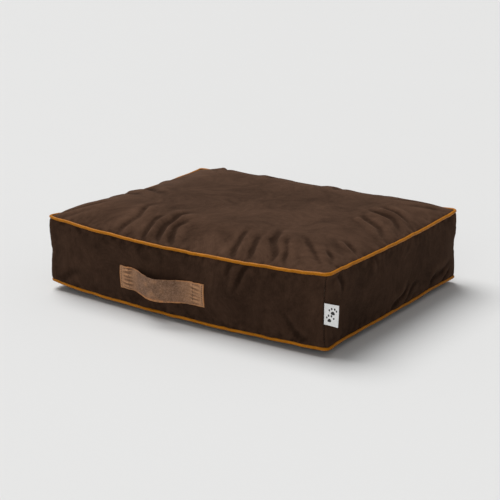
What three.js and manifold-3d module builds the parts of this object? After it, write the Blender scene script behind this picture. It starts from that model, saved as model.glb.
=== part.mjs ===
// A cushion bed for a pet: a boxed velvet cover with leather piping along its top and bottom seams,
// a leather carrying strap on the front, a label in one corner seam and a zip along the back.
// Inside lies a separate pad, a plain cotton case filled with fibre.
//
// Millimetres, +Z up. The origin is on the floor under the middle of the bed. X runs along the
// long side, the strap is on the front (-Y) and the zip on the back (+Y).

import * as THREE from "three";
import { mergeVertices } from "three/addons/utils/BufferGeometryUtils.js";
import Module from "manifold-3d";

const wasm = await Module();
wasm.setup();

// ---- driving dimensions ----

const clearance = 0.3; // between two pieces that touch

const bed = {
  length: 900, // of the rectangle that the piping follows
  width: 695,
  bandHeight: 188, // from one piping line to the other, at a corner
  cornerRadius: 14, // seen from above
  crown: 34, // the top panel's rise above its seam
  belly: 22, // the bottom panel's drop below its seam, down to the floor
  shoulder: 110, // from a seam to where the panels level out
};

// How far each side bows out along its length and swells between its seams, how far its seams sag,
// and how much of its height about the middle is flat, as the back is where the zip is sewn in.
const shapeOf = {
  front: { bow: 14, swell: 12, topSag: 12, bottomSag: 5, flat: 0 },
  right: { bow: 3, swell: 7, topSag: 3, bottomSag: 2, flat: 0 },
  back: { bow: 0, swell: 8, topSag: 0, bottomSag: 0, flat: 44 },
  left: { bow: 4, swell: 7, topSag: 4, bottomSag: 2, flat: 0 },
};
const swellTaper = 90; // length beside each corner over which the swelling fades out

const cloth = { thickness: 1.6, inset: 2 }; // the bands lie this far inside the piping line

const piping = { radius: 4.5, skin: 1.1, slotAngle: 0.2 }; // leather welt, open towards the seam

const strap = {
  centreX: -37,
  centreZ: 95,
  length: 280,
  width: 62,
  thickness: 2.4,
  sewnLength: 38, // at each end
  bow: 30, // of the free middle, away from the cover
  droop: 4,
};
const stitching = { width: 1.6, thickness: 0.9, margin: 4, fromEdge: 5 };

const label = { length: 38, height: 54, thickness: 1, bottomZ: 84.5, angle: 8 };

const zip = {
  length: 680,
  tapeWidth: 16,
  tapeThickness: 0.8,
  tapeOverrun: 8, // of the tape past the coil at each end
  coilWidth: 3,
  coilThickness: 1.7,
  coilGap: 1.2, // between the two coils, where the slider's wedge runs
  mouth: 8, // between the folded edges of the cover
  mouthEnd: 10, // length over which the mouth closes at each end
};
const slider = { length: 12, width: 12, plate: 1.2, wedge: 0.6 };
const bridge = { span: 8, post: 1.5, rise: 2.4, bar: 1.6, width: 1.8 };
const link = { wire: 0.7, drop: 11 };
const tab = { length: 36, topWidth: 9, endWidth: 13, thickness: 1.4, holeRadius: 1.6, holeMargin: 2.4 };
const stop = { length: 3, width: 8, thickness: 0.9, fromCoilEnd: 1 };

// The inner pad's case: its walls lie inside the piping line, its faces behind the cover's panels.
const pad = { inset: 7.8, setBack: 0.5, edgeDrop: 8, thickness: 1.2 };

// ---- places worked out from the dimensions ----

const bottomSeamZ = bed.belly;
const topSeamZ = bottomSeamZ + bed.bandHeight;
const middleZ = (bottomSeamZ + topSeamZ) / 2;
const apexZ = topSeamZ + bed.crown;
const seamGap = piping.radius + clearance; // from the piping line to the cloth beside it

// Looked at from above, the sides follow each other anticlockwise.
const sides = [
  { name: "front", along: [1, 0], out: [0, -1], half: bed.length / 2, reach: bed.width / 2 },
  { name: "right", along: [0, 1], out: [1, 0], half: bed.width / 2, reach: bed.length / 2 },
  { name: "back", along: [-1, 0], out: [0, 1], half: bed.length / 2, reach: bed.width / 2 },
  { name: "left", along: [0, -1], out: [-1, 0], half: bed.width / 2, reach: bed.length / 2 },
].map((side) => ({ ...side, ...shapeOf[side.name] }));
const [front, right, back, left] = sides;

const mix = THREE.MathUtils.lerp;

// A point of the outline seen from above: s runs from -1 to 1 along a side, corner to corner.
function outline(side, s, inset) {
  const corner = side.half - bed.cornerRadius;
  const past = Math.max(Math.abs(s) * side.half - corner, 0) / bed.cornerRadius;
  const turn = (past * Math.PI) / 4;
  const radius = bed.cornerRadius - inset;
  const along = past > 0 ? Math.sign(s) * (corner + radius * Math.sin(turn)) : s * side.half;
  const out = side.reach - bed.cornerRadius + radius * Math.cos(turn) + side.bow * (1 - s * s);
  return new THREE.Vector2(
    along * side.along[0] + out * side.out[0],
    along * side.along[1] + out * side.out[1],
  );
}

const topSeamAt = (side, s) => topSeamZ - side.topSag * (1 - s * s);
const bottomSeamAt = (side, s) => bottomSeamZ - side.bottomSag * (1 - s * s);

// How much of a side's swelling shows at s: none at the corners, all of it in the middle. The zip
// needs a straight stretch, so beside a long zip the back's swelling fades out over less length.
function swellShare(side, s) {
  const beyondZip = (bed.length - zip.length) / 2 - zip.mouthEnd;
  const taper = side === back ? Math.min(swellTaper, beyondZip) : swellTaper;
  const fromCorner = (1 - Math.abs(s)) * side.half;
  return Math.sin((Math.min(fromCorner / taper, 1) * Math.PI) / 2);
}

// A point of a side wall: v runs from 0 at the bottom edge to 1 at the top edge.
function wallPoint(side, s, v, inset, edgeGap) {
  const plan = outline(side, s, inset);
  const flat = side.flat / bed.bandHeight;
  const fall = Math.max(Math.abs(2 * v - 1) - flat, 0) / (1 - flat);
  const swell = side.swell * swellShare(side, s) * (1 - fall * fall);
  const z = mix(bottomSeamAt(side, s) + edgeGap, topSeamAt(side, s) - edgeGap, v);
  return new THREE.Vector3(plan.x + side.out[0] * swell, plan.y + side.out[1] * swell, z);
}

// How far a panel has risen from its seam to its level middle: 0 at the seam, 1 in the middle.
function lift(u, v) {
  const rise = (distance) => Math.sin((Math.min(distance / bed.shoulder, 1) * Math.PI) / 2);
  return rise((1 - Math.abs(u)) * front.half) * rise((1 - Math.abs(v)) * right.half);
}

// The side that a panel's point (u, v) faces, its place s along that side and its ring, 1 at the seam.
function ringOf(u, v) {
  const ring = Math.max(Math.abs(u), Math.abs(v));
  if (ring === 0) return { side: front, s: 0, ring };
  if (Math.abs(u) > Math.abs(v)) {
    const side = u > 0 ? right : left;
    return { side, s: (v / ring) * side.along[1], ring };
  }
  const side = v > 0 ? back : front;
  return { side, s: (u / ring) * side.along[0], ring };
}

// A point of the top or bottom panel, u and v from -1 to 1 across the bed.
function panelPoint(u, v, inset, seamAt, seamShift, middle) {
  const { side, s, ring } = ringOf(u, v);
  const plan = outline(side, s, inset).multiplyScalar(ring);
  return new THREE.Vector3(plan.x, plan.y, mix(seamAt(side, s) + seamShift, middle, lift(u, v)));
}

// ---- grids ----

const coverCells = { corner: 2, shoulder: 2, middle: 6 };
const padCells = { corner: 1, shoulder: 2, middle: 2 };
const padLayers = 4;
const bandRows = { front: 6, right: 4, left: 4 };
const strapCells = { sewn: 3, free: 16, thread: 1, rows: 3 };
const linkSteps = 18;
const arcCells = { welt: 4, cord: 3, wire: 3, tab: 8 }; // curveSegments of each outline
const cellsOnSide = (cells) => 2 * (cells.corner + cells.shoulder) + cells.middle;

// Places along a side: round each corner, from there to where the panels level out, and between.
function stations(side, cells, extra = []) {
  const straight = 1 - bed.cornerRadius / side.half;
  const level = 1 - bed.shoulder / side.half;
  const stretches = [
    [-1, -straight, cells.corner],
    [-straight, -level, cells.shoulder],
    [-level, level, cells.middle],
    [level, straight, cells.shoulder],
    [straight, 1, cells.corner],
  ];
  const list = [-1, ...extra];
  for (const [from, to, count] of stretches) {
    for (let i = 1; i <= count; i++) list.push(mix(from, to, i / count));
  }
  return list.sort((a, b) => a - b);
}

const evenly = (count) => Array.from({ length: count + 1 }, (_, i) => i / count);

// A closed solid from a box's grid: place(u, v, level) gives a point, level 0 on the inner face,
// growing by one a layer to the outer face.
function gridSolid(us, vs, place, layers = 1) {
  const grid = new THREE.BoxGeometry(1, 1, 1, us.length - 1, vs.length - 1, layers);
  const at = grid.getAttribute("position");
  const index = (value, cells) => Math.round((value + 0.5) * cells);
  for (let i = 0; i < at.count; i++) {
    const u = us[index(at.getX(i), us.length - 1)];
    const v = vs[index(at.getY(i), vs.length - 1)];
    const p = place(u, v, index(at.getZ(i), layers));
    at.setXYZ(i, p.x, p.y, p.z);
  }
  grid.deleteAttribute("uv");
  grid.computeVertexNormals();
  return grid;
}

// ---- materials ----

const finish = {
  velvet: { color: 0x48342b, roughness: 0.95, metalness: 0 },
  base_cloth: { color: 0x3a2a22, roughness: 0.95, metalness: 0 },
  tan_leather: { color: 0xb9701f, roughness: 0.45, metalness: 0 },
  brown_leather: { color: 0x7b5a42, roughness: 0.75, metalness: 0 },
  cotton_cord: { color: 0xd9cfba, roughness: 0.95, metalness: 0 },
  zip_tape: { color: 0x2f231d, roughness: 0.9, metalness: 0 },
  zip_coil: { color: 0x2a201b, roughness: 0.45, metalness: 0 },
  brass: { color: 0xa98243, roughness: 0.35, metalness: 1 },
  thread: { color: 0x6b4a30, roughness: 0.8, metalness: 0 },
  label_satin: { color: 0xe6e6e4, roughness: 0.6, metalness: 0 },
  cotton: { color: 0xcfc8b8, roughness: 0.95, metalness: 0 },
  fibre: { color: 0xf1efe8, roughness: 1, metalness: 0 },
};

const group = new THREE.Group();

function add(name, geometry, slot) {
  const mesh = new THREE.Mesh(geometry, new THREE.MeshStandardMaterial(finish[slot]));
  mesh.name = name;
  group.add(mesh);
  return mesh;
}

// ---- the cover ----

function addPanels() {
  const us = stations(front, coverCells);
  const vs = stations(right, coverCells);
  const half = cloth.thickness / 2;
  const top = gridSolid(us, vs, (u, v, level) => {
    const p = panelPoint(u, v, seamGap, topSeamAt, half, apexZ);
    p.z -= level === 1 ? 0 : cloth.thickness;
    return p;
  });
  // Seen from below, the bottom panel's grid runs the other way across the bed.
  const bottom = gridSolid(us, vs, (u, v, level) => {
    const p = panelPoint(u, -v, seamGap, bottomSeamAt, -half, 0);
    p.z += level === 1 ? 0 : cloth.thickness;
    return p;
  });
  add("cover_top_panel", top, "velvet");
  add("cover_bottom_panel", bottom, "base_cloth");
}

const bandInset = (level) => cloth.inset + (level === 1 ? 0 : cloth.thickness);

// Neighbouring bands stop short of each other at the upright corner seams.
function trimEnds(side, s) {
  const trim = clearance / side.half;
  return THREE.MathUtils.clamp(s, trim - 1, 1 - trim);
}

function addBand(name, side) {
  const us = stations(side, coverCells);
  const solid = gridSolid(us, evenly(bandRows[side.name]), (s, v, level) =>
    wallPoint(side, trimEnds(side, s), v, bandInset(level), seamGap),
  );
  add(name, solid, "velvet");
}

// The back band is two strips that part at the zip's mouth.
function addBackBands() {
  const zipEnd = zip.length / 2 / back.half;
  const closed = zipEnd + zip.mouthEnd / back.half;
  const us = stations(back, coverCells, [-closed, -zipEnd, zipEnd, closed]);
  const flat = back.flat / bed.bandHeight;
  const rows = [0, flat, (1 + flat) / 2, 1];
  const strip = (upper) => (s, t, level) => {
    const open = Math.abs(s) < (zipEnd + closed) / 2 ? zip.mouth : clearance;
    const height = topSeamAt(back, s) - bottomSeamAt(back, s) - 2 * seamGap;
    const mouthEdge = open / 2 / height;
    const v = upper ? mix(0.5 + mouthEdge, 1, t) : mix(0.5 - mouthEdge, 0, 1 - t);
    return wallPoint(back, trimEnds(back, s), v, bandInset(level), seamGap);
  };
  const lowerRows = rows.map((t) => 1 - t).reverse();
  add("cover_back_band_upper", gridSolid(us, rows, strip(true)), "velvet");
  add("cover_back_band_lower", gridSolid(us, lowerRows, strip(false)), "velvet");
}

// ---- the piping ----

// The seam line all round, from one side of its butt join at the middle of the back to the other.
class SeamLoop extends THREE.Curve {
  constructor(seamAt) {
    super();
    this.seamAt = seamAt;
    this.join = clearance / (4 * back.half);
  }

  getPoint(t, target = new THREE.Vector3()) {
    const turn = mix(this.join, 1 - this.join, t) * 4 + 2.5;
    const side = sides[Math.floor(turn) % 4];
    const places = stations(side, coverCells);
    const w = (turn % 1) * (places.length - 1);
    const i = Math.min(Math.floor(w), places.length - 2);
    const s = mix(places[i], places[i + 1], w - i);
    const plan = outline(side, s, 0);
    return target.set(plan.x, plan.y, this.seamAt(side, s));
  }

  // Steps follow the stations and not the length.
  getUtoTmapping(u) {
    return u;
  }
}

const loopSteps = 4 * cellsOnSide(coverCells);

function weltSection() {
  const open = Math.PI / 2; // towards the inside of the bed
  const [from, to] = [open + piping.slotAngle, open + 2 * Math.PI - piping.slotAngle];
  const section = new THREE.Shape();
  section.absarc(0, 0, piping.radius, from, to, false);
  section.absarc(0, 0, piping.radius - piping.skin, to, from, true);
  return section;
}

function cordSection() {
  const radius = piping.radius - piping.skin - clearance;
  return new THREE.Shape().absarc(0, 0, radius, 0, 2 * Math.PI, false);
}

function addPiping(name, seamAt) {
  const along = (curveSegments) => ({
    steps: loopSteps,
    extrudePath: new SeamLoop(seamAt),
    curveSegments,
  });
  add(name, new THREE.ExtrudeGeometry(weltSection(), along(arcCells.welt)), "tan_leather");
  add(name + "_cord", new THREE.ExtrudeGeometry(cordSection(), along(arcCells.cord)), "cotton_cord");
}

// ---- the carrying strap ----

// The front band's outer face at a place, as a y coordinate.
function frontFace(x, z) {
  const s = x / front.half;
  const low = bottomSeamAt(front, s) + seamGap;
  const high = topSeamAt(front, s) - seamGap;
  return wallPoint(front, s, (z - low) / (high - low), cloth.inset, seamGap).y;
}

// A strip of leather or thread lying off the front band, offset and bow measured away from it.
function strapStrip(x0, x1, columns, width, offset, thickness, profile = () => 0) {
  return gridSolid(evenly(columns), evenly(strapCells.rows), (f, v, level) => {
    const x = mix(x0, x1, f);
    const z = strap.centreZ + (v - 0.5) * width;
    const away = offset + thickness * level + strap.bow * profile(f);
    return new THREE.Vector3(x, frontFace(x, z) - away, z - strap.droop * profile(f));
  });
}

function addStrap() {
  const start = strap.centreX - strap.length / 2;
  const end = strap.centreX + strap.length / 2;
  const freeStart = start + strap.sewnLength;
  const freeEnd = end - strap.sewnLength;
  const bowed = (f) => (1 - Math.cos(2 * Math.PI * f)) / 2;
  const sewn = (x0, x1) =>
    strapStrip(x0, x1, strapCells.sewn, strap.width, clearance, strap.thickness);
  add("handle_end_left", sewn(start, freeStart), "brown_leather");
  add("handle_end_right", sewn(freeEnd, end), "brown_leather");
  const grip = strapStrip(
    freeStart + clearance,
    freeEnd - clearance,
    strapCells.free,
    strap.width,
    clearance,
    strap.thickness,
    bowed,
  );
  add("handle_grip", grip, "brown_leather");

  const row = (x) =>
    strapStrip(
      x - stitching.width / 2,
      x + stitching.width / 2,
      strapCells.thread,
      strap.width - 2 * stitching.margin,
      2 * clearance + strap.thickness,
      stitching.thickness,
    );
  add("handle_stitching_left", row(freeStart - stitching.fromEdge), "thread");
  add("handle_stitching_right", row(freeEnd + stitching.fromEdge), "thread");
}

// ---- the label ----

// The label stands out of the front right corner seam; its inner edge is its hinge line.
function addLabel() {
  const seam = outline(right, -1, cloth.inset);
  const away = clearance + label.thickness / 2;
  const solid = new THREE.BoxGeometry(label.length, label.thickness, label.height);
  solid.translate(label.length / 2, 0, label.height / 2);
  const mesh = add("label_tag", solid, "label_satin");
  const diagonal = away * Math.SQRT1_2;
  mesh.position.set(seam.x + diagonal, seam.y - diagonal, label.bottomZ);
  mesh.rotation.z = THREE.MathUtils.degToRad(label.angle);
}

// ---- the zip ----

const zipFaceY = outline(back, 0, cloth.inset).y + back.swell; // the cover's face beside the mouth
const tapeOuterY = zipFaceY - cloth.thickness - clearance;
const tapeInnerY = tapeOuterY - zip.tapeThickness;
const coilInnerY = tapeOuterY + clearance;
const coilOuterY = coilInnerY + zip.coilThickness;
const sliderInnerY = tapeInnerY - clearance - slider.plate;
const sliderFaceY = Math.max(coilOuterY, zipFaceY) + clearance + slider.plate;
const barY = sliderFaceY + bridge.rise + bridge.bar / 2; // centre of the bridge's bar
const sliderX = zip.length / 2 - stop.fromCoilEnd - stop.length - clearance - slider.length / 2;

function box(x0, x1, y0, y1, z0, z1) {
  const solid = new THREE.BoxGeometry(x1 - x0, y1 - y0, z1 - z0);
  return solid.translate((x0 + x1) / 2, (y0 + y1) / 2, (z0 + z1) / 2);
}

function addTapeAndCoil() {
  const half = zip.length / 2;
  const tapeHalf = half + zip.tapeOverrun;
  const coilEdge = zip.coilGap / 2;
  for (const [name, sign] of [["upper", 1], ["lower", -1]]) {
    const strip = (from, to, halfLength, y0, y1) => {
      const [z0, z1] = [middleZ + sign * from, middleZ + sign * to].sort((a, b) => a - b);
      return box(-halfLength, halfLength, y0, y1, z0, z1);
    };
    const tape = strip(coilEdge, coilEdge + zip.tapeWidth, tapeHalf, tapeInnerY, tapeOuterY);
    const coil = strip(coilEdge, coilEdge + zip.coilWidth, half, coilInnerY, coilOuterY);
    add("zip_tape_" + name, tape, "zip_tape");
    add("zip_coil_" + name, coil, "zip_coil");
  }
}

function addStops() {
  const inner = zip.length / 2 - stop.fromCoilEnd - stop.length;
  const y0 = coilOuterY + clearance;
  for (const [name, x0] of [["closed_end", inner], ["open_end", -inner - stop.length]]) {
    const solid = box(
      x0,
      x0 + stop.length,
      y0,
      y0 + stop.thickness,
      middleZ - stop.width / 2,
      middleZ + stop.width / 2,
    );
    add("zip_stop_" + name, solid, "brass");
  }
}

// The slider seen along the zip: a front and a back plate joined by the wedge between the coils.
function sliderBody() {
  const [w, t, g] = [slider.width / 2, slider.plate, slider.wedge / 2];
  const section = new THREE.Shape();
  section.moveTo(-w, sliderInnerY);
  section.lineTo(w, sliderInnerY);
  section.lineTo(w, sliderInnerY + t);
  section.lineTo(g, sliderInnerY + t);
  section.lineTo(g, sliderFaceY - t);
  section.lineTo(w, sliderFaceY - t);
  section.lineTo(w, sliderFaceY);
  section.lineTo(-w, sliderFaceY);
  section.lineTo(-w, sliderFaceY - t);
  section.lineTo(-g, sliderFaceY - t);
  section.lineTo(-g, sliderInnerY + t);
  section.lineTo(-w, sliderInnerY + t);
  section.closePath();
  const body = new THREE.ExtrudeGeometry(section, { depth: slider.length, bevelEnabled: false });
  // The section's x becomes the bed's z, and the extrusion runs along the zip.
  const turn = new THREE.Matrix4().makeBasis(
    new THREE.Vector3(0, 0, 1),
    new THREE.Vector3(0, 1, 0),
    new THREE.Vector3(-1, 0, 0),
  );
  body.applyMatrix4(turn);
  return body.translate(sliderX + slider.length / 2, 0, middleZ);
}

// The bridge on the slider's face, an arch along the zip that the pull hangs from.
function sliderBridge() {
  const half = bridge.span / 2;
  const sunk = slider.plate / 2;
  const top = bridge.rise + bridge.bar;
  const arch = new THREE.Shape();
  arch.moveTo(-half, -sunk);
  arch.lineTo(-half, top - bridge.post / 2);
  arch.lineTo(-half + bridge.post / 2, top);
  arch.lineTo(half - bridge.post / 2, top);
  arch.lineTo(half, top - bridge.post / 2);
  arch.lineTo(half, -sunk);
  arch.lineTo(half - bridge.post, -sunk);
  arch.lineTo(half - bridge.post, bridge.rise);
  arch.lineTo(-half + bridge.post, bridge.rise);
  arch.lineTo(-half + bridge.post, -sunk);
  arch.closePath();
  const solid = new THREE.ExtrudeGeometry(arch, { depth: bridge.width, bevelEnabled: false });
  return solid.translate(sliderX, sliderFaceY, middleZ - bridge.width / 2);
}

const weldDistance = 1e-4;

function toManifold(geometry) {
  const bare = geometry.clone();
  bare.deleteAttribute("normal");
  bare.deleteAttribute("uv");
  const merged = mergeVertices(bare, weldDistance);
  return new wasm.Manifold(
    new wasm.Mesh({
      numProp: 3,
      vertProperties: merged.getAttribute("position").array,
      triVerts: new Uint32Array(merged.getIndex().array),
    }),
  );
}

function toGeometry(manifold) {
  const mesh = manifold.getMesh();
  const geometry = new THREE.BufferGeometry();
  geometry.setAttribute("position", new THREE.BufferAttribute(mesh.vertProperties, 3));
  geometry.setIndex(new THREE.BufferAttribute(mesh.triVerts, 1));
  geometry.computeVertexNormals();
  return geometry;
}

const linkJoin = 0.002; // share of the link that its butt join leaves open, on each side

// A wire link hanging round the bridge's bar, in the upright plane across the zip.
class LinkPath extends THREE.Curve {
  getPoint(t, target = new THREE.Vector3()) {
    const halfWidth = bridge.bar / 2 + clearance + link.wire;
    const top = bridge.width / 2 + clearance + link.wire - halfWidth;
    const angle = 2 * Math.PI * mix(linkJoin, 1 - linkJoin, t) + Math.PI / 2;
    const end = Math.sin(angle) > 0 ? top : -link.drop;
    return target.set(0, halfWidth * Math.cos(angle), end + halfWidth * Math.sin(angle));
  }

  getUtoTmapping(u) {
    return u;
  }
}

function addPull() {
  const wire = new THREE.Shape().absarc(0, 0, link.wire, 0, 2 * Math.PI, false);
  const bend = { steps: linkSteps, extrudePath: new LinkPath(), curveSegments: arcCells.wire };
  const loop = add("zip_pull_link", new THREE.ExtrudeGeometry(wire, bend), "brass");
  loop.position.set(sliderX, barY, middleZ);

  const halfWidth = bridge.bar / 2 + clearance + link.wire;
  const holeZ = -link.drop - halfWidth;
  const top = holeZ + tab.holeRadius + tab.holeMargin;
  const bottom = top - tab.length;
  const [topHalf, endHalf] = [tab.topWidth / 2, tab.endWidth / 2];
  const outlineOfTab = new THREE.Shape();
  outlineOfTab.moveTo(-topHalf, top);
  outlineOfTab.lineTo(-endHalf, bottom + endHalf);
  outlineOfTab.absarc(0, bottom + endHalf, endHalf, Math.PI, 2 * Math.PI, false);
  outlineOfTab.lineTo(topHalf, top);
  outlineOfTab.closePath();
  outlineOfTab.holes.push(new THREE.Path().absarc(0, holeZ, tab.holeRadius, 0, 2 * Math.PI, true));
  const plate = new THREE.ExtrudeGeometry(outlineOfTab, {
    depth: tab.thickness,
    bevelEnabled: false,
    curveSegments: arcCells.tab,
  });
  plate.translate(0, 0, -tab.thickness / 2).rotateX(Math.PI / 2);
  const mesh = add("zip_pull_tab", plate, "tan_leather");
  mesh.position.set(sliderX, barY, middleZ);
}

function addZip() {
  addTapeAndCoil();
  addStops();
  const body = toManifold(sliderBody()).add(toManifold(sliderBridge()));
  add("zip_slider", toGeometry(body), "brass");
  addPull();
}

// ---- the inner pad ----

// The pad's full shape, inset from the cover by its walls and set back from its panels.
function padShape(inset, setBack, edge) {
  const us = stations(front, padCells);
  const vs = stations(right, padCells);
  const place = (u, v, level) => {
    if (level === padLayers) return panelPoint(u, v, inset, topSeamAt, -edge, apexZ - setBack);
    if (level === 0) return panelPoint(u, v, inset, bottomSeamAt, edge, setBack);
    const { side, s } = ringOf(u, v);
    return wallPoint(side, s, level / padLayers, inset, edge);
  };
  return gridSolid(us, vs, place, padLayers);
}

// The case is two halves that meet round the middle of the pad's side.
function addPad() {
  const outside = [pad.inset, cloth.thickness + pad.setBack, pad.edgeDrop];
  const inside = outside.map((value) => value + pad.thickness);
  const filling = inside.map((value) => value + clearance);
  const shell = toManifold(padShape(...outside)).subtract(toManifold(padShape(...inside)));
  const far = bed.length;
  for (const [name, z0, z1] of [
    ["top", middleZ + clearance / 2, middleZ + far],
    ["bottom", middleZ - far, middleZ - clearance / 2],
  ]) {
    const half = shell.intersect(toManifold(box(-far, far, -far, far, z0, z1)));
    add("pad_case_" + name, toGeometry(half), "cotton");
  }
  add("fibre_filling", padShape(...filling), "fibre");
}

// ---- assembly ----

addPanels();
addBand("cover_front_band", front);
addBand("cover_right_band", right);
addBand("cover_left_band", left);
addBackBands();
addPiping("top_piping", topSeamAt);
addPiping("bottom_piping", bottomSeamAt);
addStrap();
addLabel();
addZip();
addPad();

export default group;
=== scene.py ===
"""A cushion bed for a pet: a boxed velvet cover with leather piping, a carrying strap, a label and a
zip, round a pad filled with fibre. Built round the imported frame, in metres, +Z up, strap on -Y."""

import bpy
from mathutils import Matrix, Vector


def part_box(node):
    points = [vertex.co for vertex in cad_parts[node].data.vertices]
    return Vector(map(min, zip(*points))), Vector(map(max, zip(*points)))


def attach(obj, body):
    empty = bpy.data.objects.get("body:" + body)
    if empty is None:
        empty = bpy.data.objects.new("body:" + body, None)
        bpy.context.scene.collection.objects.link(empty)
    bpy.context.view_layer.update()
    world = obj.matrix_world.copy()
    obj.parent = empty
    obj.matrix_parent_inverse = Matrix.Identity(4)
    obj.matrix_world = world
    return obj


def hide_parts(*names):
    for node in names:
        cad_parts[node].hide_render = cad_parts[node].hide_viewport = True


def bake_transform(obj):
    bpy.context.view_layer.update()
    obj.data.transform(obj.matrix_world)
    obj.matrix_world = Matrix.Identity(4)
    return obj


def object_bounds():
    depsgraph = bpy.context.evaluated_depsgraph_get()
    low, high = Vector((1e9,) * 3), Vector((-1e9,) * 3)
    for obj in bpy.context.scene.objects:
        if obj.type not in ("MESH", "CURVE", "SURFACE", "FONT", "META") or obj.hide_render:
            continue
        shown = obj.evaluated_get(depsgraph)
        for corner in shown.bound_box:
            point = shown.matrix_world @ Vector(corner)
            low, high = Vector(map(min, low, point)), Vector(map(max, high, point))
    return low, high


bl_info = {
    "name": "Pet cushion bed",
    "version": (1, 0, 0),
    "blender": (4, 5, 0),
    "location": "3D View > Sidebar > Cushion Bed",
    "description": "Builds a velvet cushion bed with piping, strap, label and zip",
    "category": "Mesh",
}

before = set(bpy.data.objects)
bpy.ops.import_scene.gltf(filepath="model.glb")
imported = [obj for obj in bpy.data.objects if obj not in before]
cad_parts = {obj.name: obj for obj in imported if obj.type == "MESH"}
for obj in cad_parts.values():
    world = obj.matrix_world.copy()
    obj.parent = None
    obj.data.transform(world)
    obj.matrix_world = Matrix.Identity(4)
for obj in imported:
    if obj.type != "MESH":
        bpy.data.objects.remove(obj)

import functools
import math
from collections import namedtuple

import bmesh
import bpy
import numpy as np
from bpy.props import FloatProperty, FloatVectorProperty, IntProperty, PointerProperty
from bpy.types import Operator, Panel, PropertyGroup
from mathutils import Vector, noise
from mathutils.bvhtree import BVHTree

CAD_BOX = [list(corner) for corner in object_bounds()]
MM = 0.001

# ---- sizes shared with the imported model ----

WELT = 4.5 * MM  # radius of the piping
SKIN = 1.1 * MM  # thickness of its leather
CORNER = 14 * MM  # radius of the corners seen from above
BOW = {"front": 14 * MM, "right": 3 * MM, "back": 0.0, "left": 4 * MM}
CLOTH = 1.6 * MM
CLOTH_INSET = 2 * MM

TOP_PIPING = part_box("top_piping")
BOTTOM_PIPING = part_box("bottom_piping")
SPAN = TOP_PIPING[1] - TOP_PIPING[0]
LENGTH = SPAN.x - 2 * WELT - BOW["left"] - BOW["right"]
WIDTH = SPAN.y - 2 * WELT - BOW["front"] - BOW["back"]
TOP_SEAM = TOP_PIPING[1].z - WELT
BOTTOM_SEAM = BOTTOM_PIPING[1].z - WELT
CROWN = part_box("cover_top_panel")[1].z
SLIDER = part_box("zip_slider")
MIDDLE = (SLIDER[0].z + SLIDER[1].z) / 2
ZIP_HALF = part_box("zip_coil_upper")[1].x
MOUTH = 4 * MM  # half the zip's opening
MOUTH_END = 10 * MM

Side = namedtuple("Side", "name along out half reach bow swell top_sag bottom_sag flat")
SIDES = [
    Side("front", (1, 0), (0, -1), LENGTH / 2, WIDTH / 2, BOW["front"], 0.012, 0.012, 0.005, 0),
    Side("right", (0, 1), (1, 0), WIDTH / 2, LENGTH / 2, BOW["right"], 0.007, 0.003, 0.002, 0),
    Side("back", (-1, 0), (0, 1), LENGTH / 2, WIDTH / 2, BOW["back"], 0.008, 0, 0, 0.234),
    Side("left", (0, -1), (-1, 0), WIDTH / 2, LENGTH / 2, BOW["left"], 0.007, 0.013, 0.002, 0),
]
FRONT, RIGHT, BACK, LEFT = SIDES
SWELL_TAPER = 90 * MM
CORNER_FULL = 11 * MM  # how far the filled corners push the upright seams out
LABEL_CORNER_FULL = 1.5 * MM  # so that the label can swing clear
# Millimetres that the top and the bottom seam are pulled at a corner, given by its x and y sides.
CORNER_PULLS = {
    (-1, -1): ((-4, 0, 0), (-4, 0, 6)),
    (1, -1): ((5, 0, 1), (5, 0, -1)),
    (1, 1): ((2, 1, 5), (5, 2, -2)),
}
SHOULDER = 100 * MM
LEFT_SHOULDER = 170 * MM
BELLY = 42 * MM  # how far in from its seam the bottom panel meets the floor
WALL_PAINTED_SHADE = 0.68  # painted shade: how much darker the walls' velvet is painted than the top's, for the light that falls on them
CREST_PAINTED_LIGHT = 0.30  # painted highlight and shade: how much lighter the pile is painted on a crest, and darker in a crease
PUFF = 2 * MM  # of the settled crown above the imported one
CORNER_PULL_REACH = 0.07  # how far from a corner its pull on the seams is felt
CORNER_FULL_REACH = 0.035  # how far along a wall a corner's fullness is felt
CORNER_WAVER = 0.0012  # how far an upright seam strays
SHOULDER_ROUND = 0.72  # below 1, the panels rise more steeply beside their seams
PANEL_REST = 0.0008  # height of the bottom panel before it settles on the floor
FLOOR_CLEAR = 0.0010  # lowest that the settled bottom panel reaches
BOTTOM_RISE = 0.010  # how far the bottom panel may puff out
WALL_RISE = 0.007  # how far a wall may puff out
WALL_EASE = 0.018  # extra cloth gathered along a wall's seams
WALL_SLACK = 0.002  # extra cloth all over a wall
ZIP_HELD = 0.021  # how far above and below the zip the back wall is held straight
LIP_GAP = 0.0002  # between the back's two strips past the ends of the zip
SEAM_DIP = 0.0022  # how far a wall draws in at its upright seams
DIMPLE_REACH = 0.016  # round the label, where the walls draw in
DIMPLE_DEPTH = 0.0025
LABEL_TILT = math.radians(8)  # of the label off the front's plane


def outline(side, s, inset=0.0):
    """Points of the outline seen from above, s from -1 to 1 along a side, corner to corner."""
    s = np.asarray(s, float)
    straight = side.half - CORNER
    past = np.clip(np.abs(s) * side.half - straight, 0, None) / CORNER
    turn = past * math.pi / 4
    round_it = np.sign(s) * (straight + (CORNER - inset) * np.sin(turn))
    along = np.where(past > 0, round_it, s * side.half)
    out = side.reach - CORNER + (CORNER - inset) * np.cos(turn) + side.bow * (1 - s * s)
    return along[..., None] * np.array(side.along) + out[..., None] * np.array(side.out)


def seam_height(side, s, top):
    """Height of the top or bottom seam along a side."""
    if top:
        return TOP_SEAM - side.top_sag * (1 - s * s)
    return BOTTOM_SEAM - side.bottom_sag * (1 - s * s)


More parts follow.
